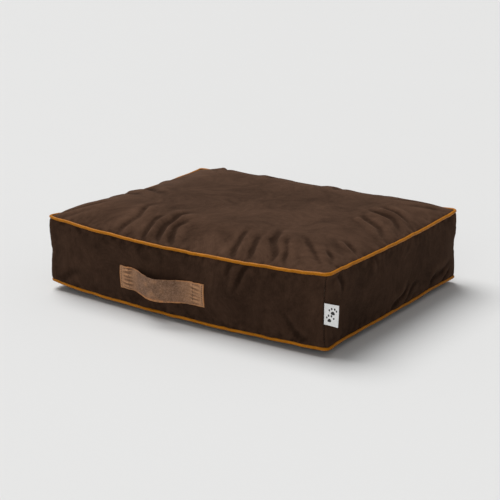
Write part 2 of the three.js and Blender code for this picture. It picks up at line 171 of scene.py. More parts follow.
def swell(side, s, v, full=0.0):
    """How far a wall swells out at s along it and v up it, full being its share at the corners."""
    from_corner = (1 - np.abs(s)) * side.half
    share = full + (1 - full) * np.sin(np.clip(from_corner / SWELL_TAPER, 0, 1) * math.pi / 2)
    fall = np.clip(np.abs(2 * v - 1) - side.flat, 0, None) / (1 - side.flat)
    return side.swell * share * (1 - fall * fall)


def noise_at(points, scale, seed=0.0):
    """Smooth noise from -1 to 1 at each point of an array (..., 3)."""
    flat = np.asarray(points, float).reshape(-1, 3) * scale + seed
    values = [noise.noise(Vector(p)) for p in flat]
    return np.array(values).reshape(np.shape(points)[:-1])


def with_height(plan, z):
    """Plan points (..., 2) and heights (...) as points (..., 3)."""
    return np.concatenate([plan, np.asarray(z)[..., None]], axis=-1)


def smooth(x):
    """Smoothstep of values clipped to 0..1."""
    x = np.clip(x, 0, 1)
    return x * x * (3 - 2 * x)


# ---- settings ----


def length(name, text, value, low=0.0, high=1.0):
    """A size in metres that a user may change."""
    return FloatProperty(
        name=name, description=text, default=value, min=low, max=high, unit="LENGTH", precision=4
    )


def colour(name, text, value):
    """A colour that a user may change."""
    return FloatVectorProperty(
        name=name, description=text, default=value, size=3, min=0, max=1, subtype="COLOR"
    )


class CoverSettings(PropertyGroup):
    """The velvet cover."""

    cell: length("Cell", "Spacing of the cloth's points", 0.0085, 0.004, 0.03)
    rise: length("Rise", "How far the cloth may puff out", 0.010, 0, 0.05)
    wobble: length("Wobble", "How far the seams stray from their line", 0.0019, 0, 0.01)
    fold_depth: length("Fold depth", "Depth of the deepest creases", 0.0080, 0, 0.02)
    pucker: length("Pucker", "Height of the puckers along the seams", 0.0011, 0, 0.005)
    ease: FloatProperty(
        name="Ease", description="Extra cloth gathered along the seams", default=0.060, min=0, max=0.2
    )
    slack: FloatProperty(
        name="Slack", description="Extra cloth all over the top", default=0.014, min=0, max=0.1
    )
    pressure: FloatProperty(
        name="Pressure", description="Push of the pad from inside", default=3.0, min=0, max=20
    )
    frames: IntProperty(name="Frames", description="Steps of the simulation", default=24, min=2)
    velvet: colour("Velvet", "Colour of the pile", (0.031, 0.0160, 0.0096))
    brushed: colour("Brushed", "Colour where the pile lies the other way", (0.100, 0.0535, 0.0335))
    base: colour("Base", "Colour of the cloth underneath", (0.020, 0.011, 0.007))


class PipingSettings(PropertyGroup):
    """The leather piping."""

    step: length("Step", "Spacing of the piping's rings", 0.0045, 0.001, 0.02)
    leather: colour("Leather", "Colour of the leather", (0.46, 0.158, 0.0018))
    worn: colour("Worn", "Colour where it is worn", (0.56, 0.22, 0.012))


class StrapSettings(PropertyGroup):
    """The carrying strap."""

    thickness: length("Thickness", "Thickness of the leather", 0.0024, 0.001, 0.006)
    bow: length("Bow", "How far the middle stands off", 0.030, 0, 0.05)
    droop: length("Droop", "How far the middle hangs down", 0.004, 0, 0.02)
    leather: colour("Leather", "Colour of the leather", (0.225, 0.112, 0.060))
    rubbed: colour("Rubbed", "Colour where the finish is rubbed", (0.40, 0.25, 0.165))
    edge: colour("Edge", "Colour of the cut edge", (0.55, 0.24, 0.09))
    ends: colour("Ends", "Colour of the sewn ends, pulled pale", (0.64, 0.33, 0.16))


class LabelSettings(PropertyGroup):
    """The woven label."""

    thickness: length("Thickness", "Thickness of the folded label", 0.001, 0.0004, 0.003)
    flare: length("Flare", "How far its lower corner curls", 0.004, 0, 0.02)
    satin: colour("Satin", "Colour of the label", (0.90, 0.90, 0.89))
    motif: colour("Motif", "Colour of the paw", (0.012, 0.012, 0.012))


class ZipSettings(PropertyGroup):
    """The zip along the back."""

    pitch: length("Pitch", "Length of one turn of the coil", 0.0017, 0.001, 0.01)
    wire: length("Wire", "Radius of the coil's wire", 0.00034, 0.0001, 0.001)
    tape: colour("Tape", "Colour of the tapes", (0.028, 0.017, 0.012))
    brass: colour("Brass", "Colour of the metal", (0.62, 0.42, 0.16))


class PadSettings(PropertyGroup):
    """The pad inside."""

    cell: length("Cell", "Spacing of the pad's points", 0.016, 0.005, 0.05)
    cotton: colour("Cotton", "Colour of the case", (0.62, 0.57, 0.47))
    fibre: colour("Fibre", "Colour of the filling", (0.86, 0.85, 0.81))


class StageSettings(PropertyGroup):
    """The floor, the light and the camera."""

    azimuth: FloatProperty(
        name="Azimuth", description="Camera round the bed", default=math.radians(35.1153), subtype="ANGLE"
    )
    elevation: FloatProperty(
        name="Elevation", description="Camera above the floor", default=math.radians(17.2271), subtype="ANGLE"
    )
    distance: length("Distance", "Camera from the point it looks at", 3.48516, 0.5, 20)
    lens: FloatProperty(name="Lens", description="Focal length in mm", default=88.3545, min=10)
    floor: colour("Floor", "Colour of the floor", (0.70, 0.70, 0.695))


SETTINGS = {
    "bed_cover": CoverSettings,
    "bed_piping": PipingSettings,
    "bed_strap": StrapSettings,
    "bed_label": LabelSettings,
    "bed_zip": ZipSettings,
    "bed_pad": PadSettings,
    "bed_stage": StageSettings,
}


# ---- meshes ----


def make_object(name, points, faces, smooth_faces=True, closed=False):
    """A mesh object from points (n, 3) and faces, its normals turned outward if it is closed."""
    mesh = bpy.data.meshes.new(name)
    mesh.from_pydata(np.asarray(points).reshape(-1, 3).tolist(), [], [list(f) for f in faces])
    if closed:
        work = bmesh.new()
        work.from_mesh(mesh)
        bmesh.ops.recalc_face_normals(work, faces=work.faces)
        work.to_mesh(mesh)
        work.free()
    mesh.polygons.foreach_set("use_smooth", [smooth_faces] * len(mesh.polygons))
    mesh.update()
    obj = bpy.data.objects.new(name, mesh)
    bpy.context.scene.collection.objects.link(obj)
    return obj


def grid_faces(n, m, start=0):
    """Quads of an n by m grid whose points are numbered from start."""
    i, j = np.meshgrid(np.arange(n - 1), np.arange(m - 1), indexing="ij")
    a = (start + i * m + j).ravel()
    return np.stack([a, a + m, a + m + 1, a + 1], axis=1)


def slab(name, outer, inner):
    """A closed sheet from two grids of points (n, m, 3) that lie face to face."""
    n, m = outer.shape[:2]
    count = n * m
    edge = [i * m for i in range(n)] + [(n - 1) * m + j for j in range(1, m)]
    edge += [i * m + m - 1 for i in range(n - 2, -1, -1)] + list(range(m - 2, 0, -1))
    faces = grid_faces(n, m).tolist()
    faces += [f[::-1] for f in grid_faces(n, m, count).tolist()]
    for a, b in zip(edge, edge[1:] + edge[:1]):
        faces.append([b, a, a + count, b + count])
    points = np.concatenate([outer.reshape(-1, 3), inner.reshape(-1, 3)])
    return make_object(name, points, faces, closed=True)


def sweep_parts(path, across, up, section, closed, start=0):
    """Points and faces of a tube: a section (k, 2) or (n, k, 2) carried along a path (n, 3)."""
    section = np.broadcast_to(section, (len(path),) + np.shape(section)[-2:])
    points = (
        path[:, None]
        + across[:, None] * section[..., :1]
        + up[:, None] * section[..., 1:]
    )
    n, k = points.shape[:2]
    ring = np.arange(k)
    faces = []
    for i in range(n if closed else n - 1):
        a, b = start + i * k, start + (i + 1) % n * k
        after = (ring + 1) % k
        faces += np.stack([a + ring, a + after, b + after, b + ring], axis=1).tolist()
    if not closed:
        faces.append((start + ring[::-1]).tolist())
        faces.append((start + (n - 1) * k + ring).tolist())
    return points.reshape(-1, 3), faces


def sweep(name, path, across, up, section, closed=False):
    """A tube object."""
    points, faces = sweep_parts(path, across, up, section, closed)
    return make_object(name, points, faces, closed=True)


def circle(radius, count):
    """Points of a circle (count, 2)."""
    turn = np.arange(count) * 2 * math.pi / count
    return radius * np.stack([np.cos(turn), np.sin(turn)], axis=1)


def unit(vectors):
    """Vectors scaled to length one."""
    return vectors / np.maximum(np.linalg.norm(vectors, axis=-1, keepdims=True), 1e-12)


def grid_normals(points):
    """Normals of a grid of points (n, m, 3)."""
    return unit(np.cross(np.gradient(points, axis=0), np.gradient(points, axis=1)))


def finer(points, axis):
    """A grid with a point added between each two along an axis, on a smooth curve."""
    p = np.moveaxis(points, axis, 0)
    padded = np.concatenate([2 * p[:1] - p[1:2], p, 2 * p[-1:] - p[-2:-1]])
    between = (9 * (padded[1:-2] + padded[2:-1]) - padded[:-3] - padded[3:]) / 16
    out = np.empty((2 * len(p) - 1,) + p.shape[1:])
    out[::2], out[1::2] = p, between
    return np.moveaxis(out, 0, axis)


def apply_modifiers(obj):
    """Makes the modified mesh the object's own."""
    shown = obj.evaluated_get(bpy.context.evaluated_depsgraph_get())
    mesh = bpy.data.meshes.new_from_object(shown)
    obj.modifiers.clear()
    obj.data = mesh
    mesh.polygons.foreach_set("use_smooth", [True] * len(mesh.polygons))


def add_bevel(obj, width, segments=2):
    """Rounds an object's sharp edges."""
    bevel = obj.modifiers.new("Rounded edges", "BEVEL")
    bevel.width = width
    bevel.segments = segments
    bevel.limit_method = "ANGLE"
    bevel.angle_limit = math.radians(40)
    return bevel


def stitch_row(name, places, along, normal, stitch, thread):
    """Separate stitches: each a short thread that rises from the cloth and dives back into it."""
    along = unit(np.broadcast_to(along, places.shape))
    normal = unit(np.broadcast_to(normal, places.shape))
    points, faces = [], []
    steps = np.linspace(-0.5, 0.5, 7)
    for place, a, n in zip(places, along, normal):
        rise = thread * (1.9 * np.cos(steps * math.pi) - 0.9)
        path = place + np.outer(steps * stitch, a) + np.outer(rise, n)
        girth = 0.55 + 0.45 * np.cos(steps * math.pi)
        section = circle(thread, 6) * girth[:, None, None]
        across = np.broadcast_to(np.cross(n, a), path.shape)
        up = np.cross(np.broadcast_to(a, path.shape), across)
        p, f = sweep_parts(path, across, up, section, False, sum(len(q) for q in points))
        points.append(p)
        faces += f
    return make_object(name, np.concatenate(points), faces, closed=True)


# ---- materials ----


def add_node(tree, kind, values=None, **settings):
    """A shader node with its settings and the values or links of its inputs."""
    made = tree.nodes.new("ShaderNode" + kind)
    for key, value in settings.items():
        setattr(made, key, value)
    for key, value in (values or {}).items():
        if isinstance(value, bpy.types.NodeSocket):
            tree.links.new(value, made.inputs[key])
        else:
            made.inputs[key].default_value = value
    return made


def maths(tree, operation, *values):
    """The output of a Math node."""
    return add_node(tree, "Math", dict(enumerate(values)), operation=operation).outputs[0]


def new_group(name, inputs, outputs):
    """An empty shader node group with float inputs {name: default} and outputs."""
    tree = bpy.data.node_groups.new(name, "ShaderNodeTree")
    tree.interface.new_socket("Vector", in_out="INPUT", socket_type="NodeSocketVector")
    for key, value in inputs.items():
        socket = tree.interface.new_socket(key, in_out="INPUT", socket_type="NodeSocketFloat")
        socket.default_value = value
    for key in outputs:
        tree.interface.new_socket(key, in_out="OUTPUT", socket_type="NodeSocketFloat")
    return tree, tree.nodes.new("NodeGroupInput").outputs, tree.nodes.new("NodeGroupOutput")


def put_out(tree, end, values):
    """Links a group's outputs."""
    for key, value in values.items():
        tree.links.new(value, end.inputs[key])


def noise_node(tree, vector, scale, detail=3.0, roughness=0.55):
    """The value of a noise texture."""
    values = {"Vector": vector, "Scale": scale, "Detail": detail, "Roughness": roughness}
    return add_node(tree, "TexNoise", values).outputs["Fac"]


def scaled(tree, vector, scale):
    """A vector scaled by a value."""
    values = {0: vector, "Scale": scale}
    return add_node(tree, "VectorMath", values, operation="SCALE").outputs[0]


def stretched(tree, vector, scale):
    """A vector scaled differently along x, y and z."""
    values = {0: vector, 1: scale}
    return add_node(tree, "VectorMath", values, operation="MULTIPLY").outputs[0]


def ramp(tree, value, low, high):
    """A value mapped from low..high to 0..1."""
    values = {"Value": value, "From Min": low, "From Max": high}
    return add_node(tree, "MapRange", values).outputs["Result"]


@functools.cache
def nap_group():
    """Pile of velvet: broad brushed patches, short strokes and fine pile."""
    tree, given, end = new_group("Nap", {"Scale": 1.0, "Strokes": 0.5}, ["Tone", "Height"])
    vector = scaled(tree, given["Vector"], given["Scale"])
    warp = add_node(tree, "TexNoise", {"Vector": vector, "Scale": 5.0, "Detail": 2.0})
    bent = add_node(
        tree, "VectorMath", {0: warp.outputs["Color"], 1: (0.22, 0.22, 0.22), 2: vector},
        operation="MULTIPLY_ADD",
    ).outputs[0]
    patches = ramp(tree, noise_node(tree, bent, 7.0, 5.0, 0.6), 0.36, 0.70)
    lengthwise = stretched(tree, bent, (34.0, 34.0, 7.0))
    strokes = ramp(tree, noise_node(tree, lengthwise, 1.0, 5.0, 0.7), 0.40, 0.68)
    mottle = ramp(tree, noise_node(tree, bent, 55.0, 4.0, 0.7), 0.38, 0.68)
    pile = noise_node(tree, vector, 900.0, 2.0, 0.7)
    bristles = stretched(tree, bent, (260.0, 260.0, 90.0))
    brush = ramp(tree, noise_node(tree, bristles, 1.0, 4.0, 0.8), 0.35, 0.66)
    streaks = maths(tree, "MULTIPLY", strokes, given["Strokes"])
    tone = maths(tree, "MULTIPLY_ADD", patches, 0.42, maths(tree, "MULTIPLY", streaks, 0.34))
    tone = maths(tree, "MULTIPLY_ADD", mottle, 0.16, tone)
    tone = maths(tree, "MULTIPLY_ADD", brush, 0.22, maths(tree, "SUBTRACT", tone, 0.11))
    tone = maths(tree, "MULTIPLY_ADD", pile, 0.26, maths(tree, "SUBTRACT", tone, 0.13))
    height = maths(tree, "MULTIPLY_ADD", mottle, 0.5, pile)
    put_out(tree, end, {"Tone": tone, "Height": height})
    return tree


@functools.cache
def grain_group():
    """Leather: pebbled grain, creases, and a mask of where the finish has worn."""
    tree, given, end = new_group("Grain", {"Scale": 1.0, "Wear": 0.5}, ["Height", "Worn", "Tone"])
    vector = scaled(tree, given["Vector"], given["Scale"])
    cells = add_node(
        tree, "TexVoronoi", {"Vector": vector, "Scale": 620.0, "Randomness": 0.9},
        feature="DISTANCE_TO_EDGE",
    ).outputs["Distance"]
    pebbles = ramp(tree, cells, 0.0, 0.22)
    creases = noise_node(tree, vector, 120.0, 5.0, 0.65)
    tone = noise_node(tree, vector, 38.0, 6.0, 0.7)
    rubbed = noise_node(tree, vector, 210.0, 6.0, 0.8)
    worn = maths(tree, "MULTIPLY", ramp(tree, rubbed, 0.44, 0.72), ramp(tree, tone, 0.30, 0.66))
    worn = maths(tree, "MULTIPLY", worn, given["Wear"])
    height = maths(tree, "MULTIPLY_ADD", creases, 1.4, pebbles)
    put_out(tree, end, {"Height": height, "Worn": worn, "Tone": tone})
    return tree


@functools.cache
def weave_group():
    """Plain weave: over and under threads and their slubs."""
    tree, given, end = new_group("Weave", {"Threads": 1.0}, ["Height", "Tone"])
    vector = scaled(tree, given["Vector"], given["Threads"])
    split = add_node(tree, "SeparateXYZ", {"Vector": vector}).outputs
    slant = maths(tree, "MULTIPLY", split["Y"], 0.5)
    warp = maths(tree, "SINE", maths(tree, "ADD", split["X"], slant))
    weft = maths(tree, "SINE", maths(tree, "SUBTRACT", split["Z"], slant))
    cross = maths(tree, "MULTIPLY", warp, weft)
    slubs = noise_node(tree, given["Vector"], 160.0, 4.0, 0.6)
    height = maths(tree, "MULTIPLY_ADD", cross, 0.5, 0.5)
    put_out(tree, end, {"Height": height, "Tone": maths(tree, "MULTIPLY_ADD", height, 0.3, slubs)})
    return tree


@functools.cache
def lint_group():
    """Specks of lint and dust that cling to cloth and leather."""
    tree, given, end = new_group("Lint", {"Amount": 0.3}, ["Mask"])
    specks = add_node(tree, "TexVoronoi", {"Vector": given["Vector"], "Scale": 260.0}).outputs["Distance"]
    dust = noise_node(tree, given["Vector"], 18.0, 5.0, 0.7)
    mask = maths(tree, "MULTIPLY", ramp(tree, specks, 0.10, 0.04), ramp(tree, dust, 0.46, 0.66))
    put_out(tree, end, {"Mask": maths(tree, "MULTIPLY", mask, given["Amount"])})
    return tree


def use_group(tree, group, vector, **values):
    """A group node placed in a material with its own values."""
    made = add_node(tree, "Group", node_tree=group)
    tree.links.new(vector, made.inputs["Vector"])
    for key, value in values.items():
        made.inputs[key].default_value = value
    return made.outputs


def new_material(name, **values):
    """A material with a Principled BSDF, and its tree, shader and object coordinates."""
    material = bpy.data.materials.new(name)
    material.use_nodes = True
    tree = material.node_tree
    tree.nodes.clear()
    shader = add_node(tree, "BsdfPrincipled", values)
    output = add_node(tree, "OutputMaterial")
    tree.links.new(shader.outputs[0], output.inputs["Surface"])
    vector = add_node(tree, "TexCoord").outputs["Object"]
    return material, tree, shader, vector


def mixed(tree, factor, first, second):
    """A colour between two, either of which may be a socket or three numbers."""
    full = [c if isinstance(c, bpy.types.NodeSocket) else (*c, 1.0) for c in (first, second)]
    made = add_node(tree, "Mix", data_type="RGBA", clamp_factor=True)
    tree.links.new(factor, made.inputs["Factor"])
    for socket, value in zip((made.inputs[6], made.inputs[7]), full):
        if isinstance(value, bpy.types.NodeSocket):
            tree.links.new(value, socket)
        else:
            socket.default_value = value
    return made.outputs[2]


def set_bump(tree, shader, height, strength, distance):
    """Drives the shader's normal from a height."""
    values = {"Strength": strength, "Distance": distance, "Height": height}
    bump = add_node(tree, "Bump", values)
    tree.links.new(bump.outputs["Normal"], shader.inputs["Normal"])


@functools.cache
def velvet(name, pile, brushed, strokes, sheen):
    """Velvet with brushed patches, a soft sheen, a little lint, painted highlight on its crests and painted
    shade in its creases.
    """
    material, tree, shader, vector = new_material(
        name,
        **{
            "Roughness": 0.95,
            "Specular IOR Level": 0.04,
            "Sheen Weight": sheen,
            "Sheen Roughness": 0.38,
            "Sheen Tint": (0.60, 0.36, 0.24, 1.0),
        },
    )
    nap = use_group(tree, nap_group(), vector, Strokes=strokes)
    lint = use_group(tree, lint_group(), vector, Amount=0.16)
    # painted highlight on the cloth's crests and painted shade in its creases
    crest = add_node(tree, "Attribute", attribute_name="crest").outputs["Fac"]
    tone = maths(tree, "MULTIPLY_ADD", crest, CREST_PAINTED_LIGHT, nap["Tone"])
    cloth = mixed(tree, tone, pile, brushed)
    cloth = mixed(tree, lint["Mask"], cloth, (0.32, 0.27, 0.22))
    tree.links.new(cloth, shader.inputs["Base Color"])
    set_bump(tree, shader, nap["Height"], 0.35, 0.0006)
    return material


@functools.cache
def leather(name, base, worn_colour, scale, wear, roughness, coat):
    """Leather with grain, creases and worn places."""
    material, tree, shader, vector = new_material(
        name,
        **{
            "Roughness": roughness,
            "Specular IOR Level": 0.10,
            "Coat Weight": coat,
            "Coat Roughness": 0.3,
        },
    )
    grain = use_group(tree, grain_group(), vector, Scale=scale, Wear=wear)
    lint = use_group(tree, lint_group(), vector, Amount=0.04)
    darker = tuple(c * 0.72 for c in base)
    skin = mixed(tree, ramp(tree, grain["Tone"], 0.3, 0.7), darker, base)
    skin = mixed(tree, grain["Worn"], skin, worn_colour)
    skin = mixed(tree, lint["Mask"], skin, (0.5, 0.42, 0.34))
    tree.links.new(skin, shader.inputs["Base Color"])
    rough = maths(tree, "MULTIPLY_ADD", grain["Worn"], 0.25, roughness)
    tree.links.new(rough, shader.inputs["Roughness"])
    set_bump(tree, shader, grain["Height"], 0.35, 0.00035)
    return material


@functools.cache
def woven(name, base, threads, roughness=0.85, contrast=0.35, sheen=0.1):
    """Woven cloth, tape or thread."""
    material, tree, shader, vector = new_material(
        name, **{"Roughness": roughness, "Sheen Weight": sheen, "Sheen Roughness": 0.5}
    )
    weave = use_group(tree, weave_group(), vector, Threads=threads)
    lint = use_group(tree, lint_group(), vector, Amount=0.10)
    darker = tuple(c * (1 - contrast) for c in base)
    cloth = mixed(tree, ramp(tree, weave["Tone"], 0.3, 0.9), darker, base)
    cloth = mixed(tree, lint["Mask"], cloth, tuple(min(1, 0.5 * c + 0.3) for c in base))
    tree.links.new(cloth, shader.inputs["Base Color"])
    set_bump(tree, shader, weave["Height"], 0.4, 0.0002)
    return material


@functools.cache
def metal(name, base):
    """Brass with a worn plating."""
    material, tree, shader, vector = new_material(name, **{"Metallic": 1.0, "Roughness": 0.3})
    grain = use_group(tree, grain_group(), vector, Scale=3.0, Wear=0.8)
    tarnish = tuple(c * 0.55 for c in base)
    tree.links.new(mixed(tree, grain["Worn"], base, tarnish), shader.inputs["Base Color"])
    rough = maths(tree, "MULTIPLY_ADD", grain["Tone"], 0.25, 0.2)
    tree.links.new(rough, shader.inputs["Roughness"])
    set_bump(tree, shader, grain["Height"], 0.08, 0.0001)
    return material


@functools.cache
def fibre_fill(name, base):
    """Loose fibre filling."""
    material, tree, shader, vector = new_material(
        name, **{"Roughness": 1.0, "Sheen Weight": 0.3, "Subsurface Weight": 0.1}
    )
    nap = use_group(tree, nap_group(), vector, Scale=2.0, Strokes=0.8)
    shade = tuple(c * 0.8 for c in base)
    tree.links.new(mixed(tree, nap["Tone"], shade, base), shader.inputs["Base Color"])
    set_bump(tree, shader, nap["Height"], 0.8, 0.003)
    return material


def dress(obj, material, body):
    """Gives a piece its material, and the body that it moves with."""
    obj.data.materials.clear()
    obj.data.materials.append(material)
    if body:
        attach(obj, body)
    return obj


def dress_node(name, material):
    """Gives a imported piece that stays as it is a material."""
    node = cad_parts[name]
    if not node.material_slots:
        node.data.materials.append(material)
    for place in node.material_slots:
        place.link = "OBJECT"
        place.material = material
    return node


# ---- the cover's shape ----

ROWS = 11  # rows of cloth above and below the zip's opening


def settings():
    """The scene, which holds the bed's settings."""
    return bpy.context.scene


def stations(side, cell):
    """Places along a side, closer together round its corners."""
    straight = 1 - CORNER / side.half
    count = max(4, round(2 * side.half * straight / cell))
    inner = np.linspace(-straight, straight, count + 1)
    bend = (inner[-1] + np.array([0.5, 1.0]) * (1 - straight)).tolist()
    return np.array([-b for b in reversed(bend)] + inner.tolist() + bend)


def row_places(rows=ROWS):
    """Places up a wall, with one row as high as the zip's opening."""
    gap = MOUTH / (TOP_SEAM - BOTTOM_SEAM)
    low = np.linspace(0, 0.5 - gap, rows + 1)
    return np.concatenate([low, 1 - low[::-1]])


def corner_stray(line, top):
    """How far the seam is pulled out of line near each corner by the filling."""
    moved = np.zeros_like(line)
    for (x, y), pulls in CORNER_PULLS.items():
        corner = np.array([x * FRONT.half, y * RIGHT.half])
        near = np.exp(-(np.linalg.norm(line[..., :2] - corner, axis=-1) / CORNER_PULL_REACH) ** 2)
        moved += near[..., None] * np.array(pulls[0 if top else 1]) * MM
    return moved


def seam_line(side, s, top):
    """The seam's own line along a side, straying a little from the drawn one."""
    stray = settings().bed_cover.wobble
    line = with_height(outline(side, s), seam_height(side, s, top))
    at = line + (0, 0, 0.4 if top else 0.0)
    sag = noise_at(at, 9.0, 3.1) + 0.8 * noise_at(at, 24.0, 8.3) + 0.4 * noise_at(at, 60.0, 5.5)
    sway = noise_at(at, 8.0, 21.7)
    ease = 1.0 if side is not BACK else 0.4
    line[..., 2] += stray * ease * sag
    line[..., :2] += (stray * ease * sway)[..., None] * unit(line[..., :2])
    return line + corner_stray(line, top)


def points_at(side, end):
    """A point of the outline at one end of a side."""
    return outline(side, float(end))


def corner_full(point):
    """How far the filled corner near a point pushes its upright seam out: least at the label."""
    return LABEL_CORNER_FULL if point[0] > 0 > point[1] else CORNER_FULL


def fullness(v):
    """Share of a corner's fullness up its seam: most beside the piping, pinched in the middle."""
    return (1 - (2 * v - 1) ** 8) * (1 - 0.5 * np.exp(-(((v - 0.48) / 0.17) ** 2)))


def corner_line(side, end, heights):
    """The upright corner seam at one end of a side."""
    plan = outline(side, np.full(len(heights), float(end)), CLOTH_INSET)
    low = seam_line(side, np.array([float(end)]), False)[0]
    high = seam_line(side, np.array([float(end)]), True)[0]
    line = with_height(plan, low[2] + (high[2] - low[2]) * heights)
    near = np.minimum(heights, 1 - heights) * 6
    keep = smooth(near)[:, None]
    edge = low + (high - low) * heights[:, None]
    line = line * keep + edge * (1 - keep)
    stray = CORNER_WAVER * noise_at(line, 14.0, 5.0) * keep[:, 0]
    full = corner_full(line[0]) * fullness(heights)
    diagonal = unit(np.sign(line[:, :2]))
    line[:, :2] += (stray + full)[:, None] * diagonal
    return line


def wall_grid(side, cell):
    """The points of a wall before the cloth settles: along the side, then up."""
    s = stations(side, cell)
    v = row_places()
    ss, vv = np.meshgrid(s, v, indexing="ij")
    low, high = seam_line(side, s, False), seam_line(side, s, True)
    inset = CLOTH_INSET * smooth(np.minimum(vv, 1 - vv) * 10)
    plan = np.stack([outline(side, s, 0.0) for _ in v], axis=1)
    out = np.array(side.out)
    plan = plan + out * (swell(side, ss, vv) - inset)[..., None]
    corner = np.where(ss < 0, corner_full(points_at(side, -1)), corner_full(points_at(side, 1)))
    full = corner * fullness(vv) * np.exp(-(1 - np.abs(ss)) * side.half / CORNER_FULL_REACH)
    along = np.array(side.along) * np.sign(ss)[..., None]
    plan = plan + (out + along) * (full * math.sqrt(0.5))[..., None]
    edge = low[:, None] + (high - low)[:, None] * vv[..., None]
    points = with_height(plan, edge[..., 2])
    stray = (edge[..., :2] - outline(side, ss, 0.0)) * (np.abs(2 * vv - 1) ** 3)[..., None]
    points[..., :2] += stray
    points[:, 0], points[:, -1] = low, high
    points[0], points[-1] = corner_line(side, -1, v), corner_line(side, 1, v)
    return points


def rounded(distance, shoulder):
    """How far a panel has bulged at a distance from one seam: 1 past its shoulder."""
    return np.sin(np.clip(distance / shoulder, 0, 1) * math.pi / 2) ** SHOULDER_ROUND


def lift(u, v, top=True):
    """How far a panel has bulged from its seams: 0 at the seam, 1 in the middle."""
    from_ends, from_sides = (1 - np.abs(u)) * FRONT.half, (1 - np.abs(v)) * RIGHT.half
    if not top:
        return rounded(from_ends, BELLY) * rounded(from_sides, BELLY)
    share = np.where(u < 0, smooth((v + 0.85) / 0.9), 0.0)
    shoulder = SHOULDER + (LEFT_SHOULDER - SHOULDER) * share
    return rounded(from_ends, shoulder) * rounded(from_sides, SHOULDER)


def panel_grid(top, cell):
    """The points of the top or bottom panel before the cloth settles."""
    us, vs = stations(FRONT, cell), stations(RIGHT, cell)
    u, v = np.meshgrid(us, vs, indexing="ij")
    ring = np.maximum(np.maximum(np.abs(u), np.abs(v)), 1e-9)
    upright = np.abs(u) > np.abs(v)
    rim = np.zeros(u.shape + (3,))
    for side in SIDES:
        sign = side.along[0] if side in (FRONT, BACK) else side.along[1]
        if side in (FRONT, BACK):
            facing = ~upright & ((v > 0) == (side is BACK))
            s = u[facing] / ring[facing] * sign
        else:
            facing = upright & ((u > 0) == (side is RIGHT))
            s = v[facing] / ring[facing] * sign
        rim[facing] = seam_line(side, s, top)
    middle = CROWN + PUFF if top else PANEL_REST
    share = lift(u, v, top)
    points = with_height(rim[..., :2] * ring[..., None], rim[..., 2] * (1 - share) + middle * share)
    return points if top else points[:, ::-1]


def sewn_edge(shape):
    """Which points of a grid are sewn down: its edge."""
    held = np.zeros(shape, bool)
    held[[0, -1]] = True
    held[:, [0, -1]] = True
    return held


def gathered(points, ease, slack, reach=0.075):
    """The cloth as it was cut: longer than its seams along each edge, and a little larger all over."""
    middle = points.reshape(-1, 3).mean(axis=0)
    n, m = points.shape[:2]
    first = np.linalg.norm(np.diff(points, axis=0), axis=2).mean(axis=1)
    second = np.linalg.norm(np.diff(points, axis=1), axis=2).mean(axis=0)
    a = np.concatenate([[0], np.cumsum(first)])
    b = np.concatenate([[0], np.cumsum(second)])
    near_b = np.exp(-((np.minimum(b, b[-1] - b) / reach) ** 2))[None, :]
    near_a = np.exp(-((np.minimum(a, a[-1] - a) / reach) ** 2))[:, None]
    flat_a = (a - a[-1] / 2)[:, None] * (1 + slack + ease * near_b)
    flat_b = (b - b[-1] / 2)[None, :] * (1 + slack + ease * near_a * (b[-1] > 0.4))
    return np.stack([flat_a, flat_b, np.zeros((n, m))], axis=-1) + middle


def settle(points, cut, held, pressure, stiffness=1.0):
    """Lets a sheet of cloth that is sewn down where held puff out, and returns its points."""
    scene = bpy.context.scene
    count = points.shape[0] * points.shape[1]
    obj = make_object("settling_cloth", points, grid_faces(*points.shape[:2]))
    obj.shape_key_add(name="Sewn")
    key = obj.shape_key_add(name="Cut")
    key.data.foreach_set("co", cut.ravel())
    sewn = obj.vertex_groups.new(name="sewn")
    sewn.add(np.flatnonzero(held.ravel()).tolist(), 1.0, "REPLACE")
    modifier = obj.modifiers.new("Cloth", "CLOTH")
    cloth = modifier.settings
    cloth.quality = 6
    cloth.mass = 0.25
    cloth.tension_stiffness = 18
    cloth.compression_stiffness = 18
    cloth.shear_stiffness = 8
    cloth.bending_stiffness = stiffness
    cloth.bending_damping = 0.6
    cloth.vertex_group_mass = "sewn"
    cloth.rest_shape_key = key
    cloth.use_pressure = True
    cloth.uniform_pressure_force = pressure
    cloth.effector_weights.gravity = 0
    frames = scene.bed_cover.frames
    modifier.point_cache.frame_start, modifier.point_cache.frame_end = 1, frames
    for step in range(1, frames + 1):
        scene.frame_set(step)
    shown = obj.evaluated_get(bpy.context.evaluated_depsgraph_get())
    settled = np.empty(count * 3, np.float32)
    shown.data.vertices.foreach_get("co", settled)
    mesh = obj.data
    bpy.data.objects.remove(obj)
    bpy.data.meshes.remove(mesh)
    scene.frame_set(1)
    return settled.reshape(points.shape).astype(float)


def within(moved, most):
    """Displacements whose lengths level out towards the most allowed."""
    size = np.linalg.norm(moved, axis=-1, keepdims=True)
    return moved * most * np.tanh(size / most) / np.maximum(size, 1e-9)


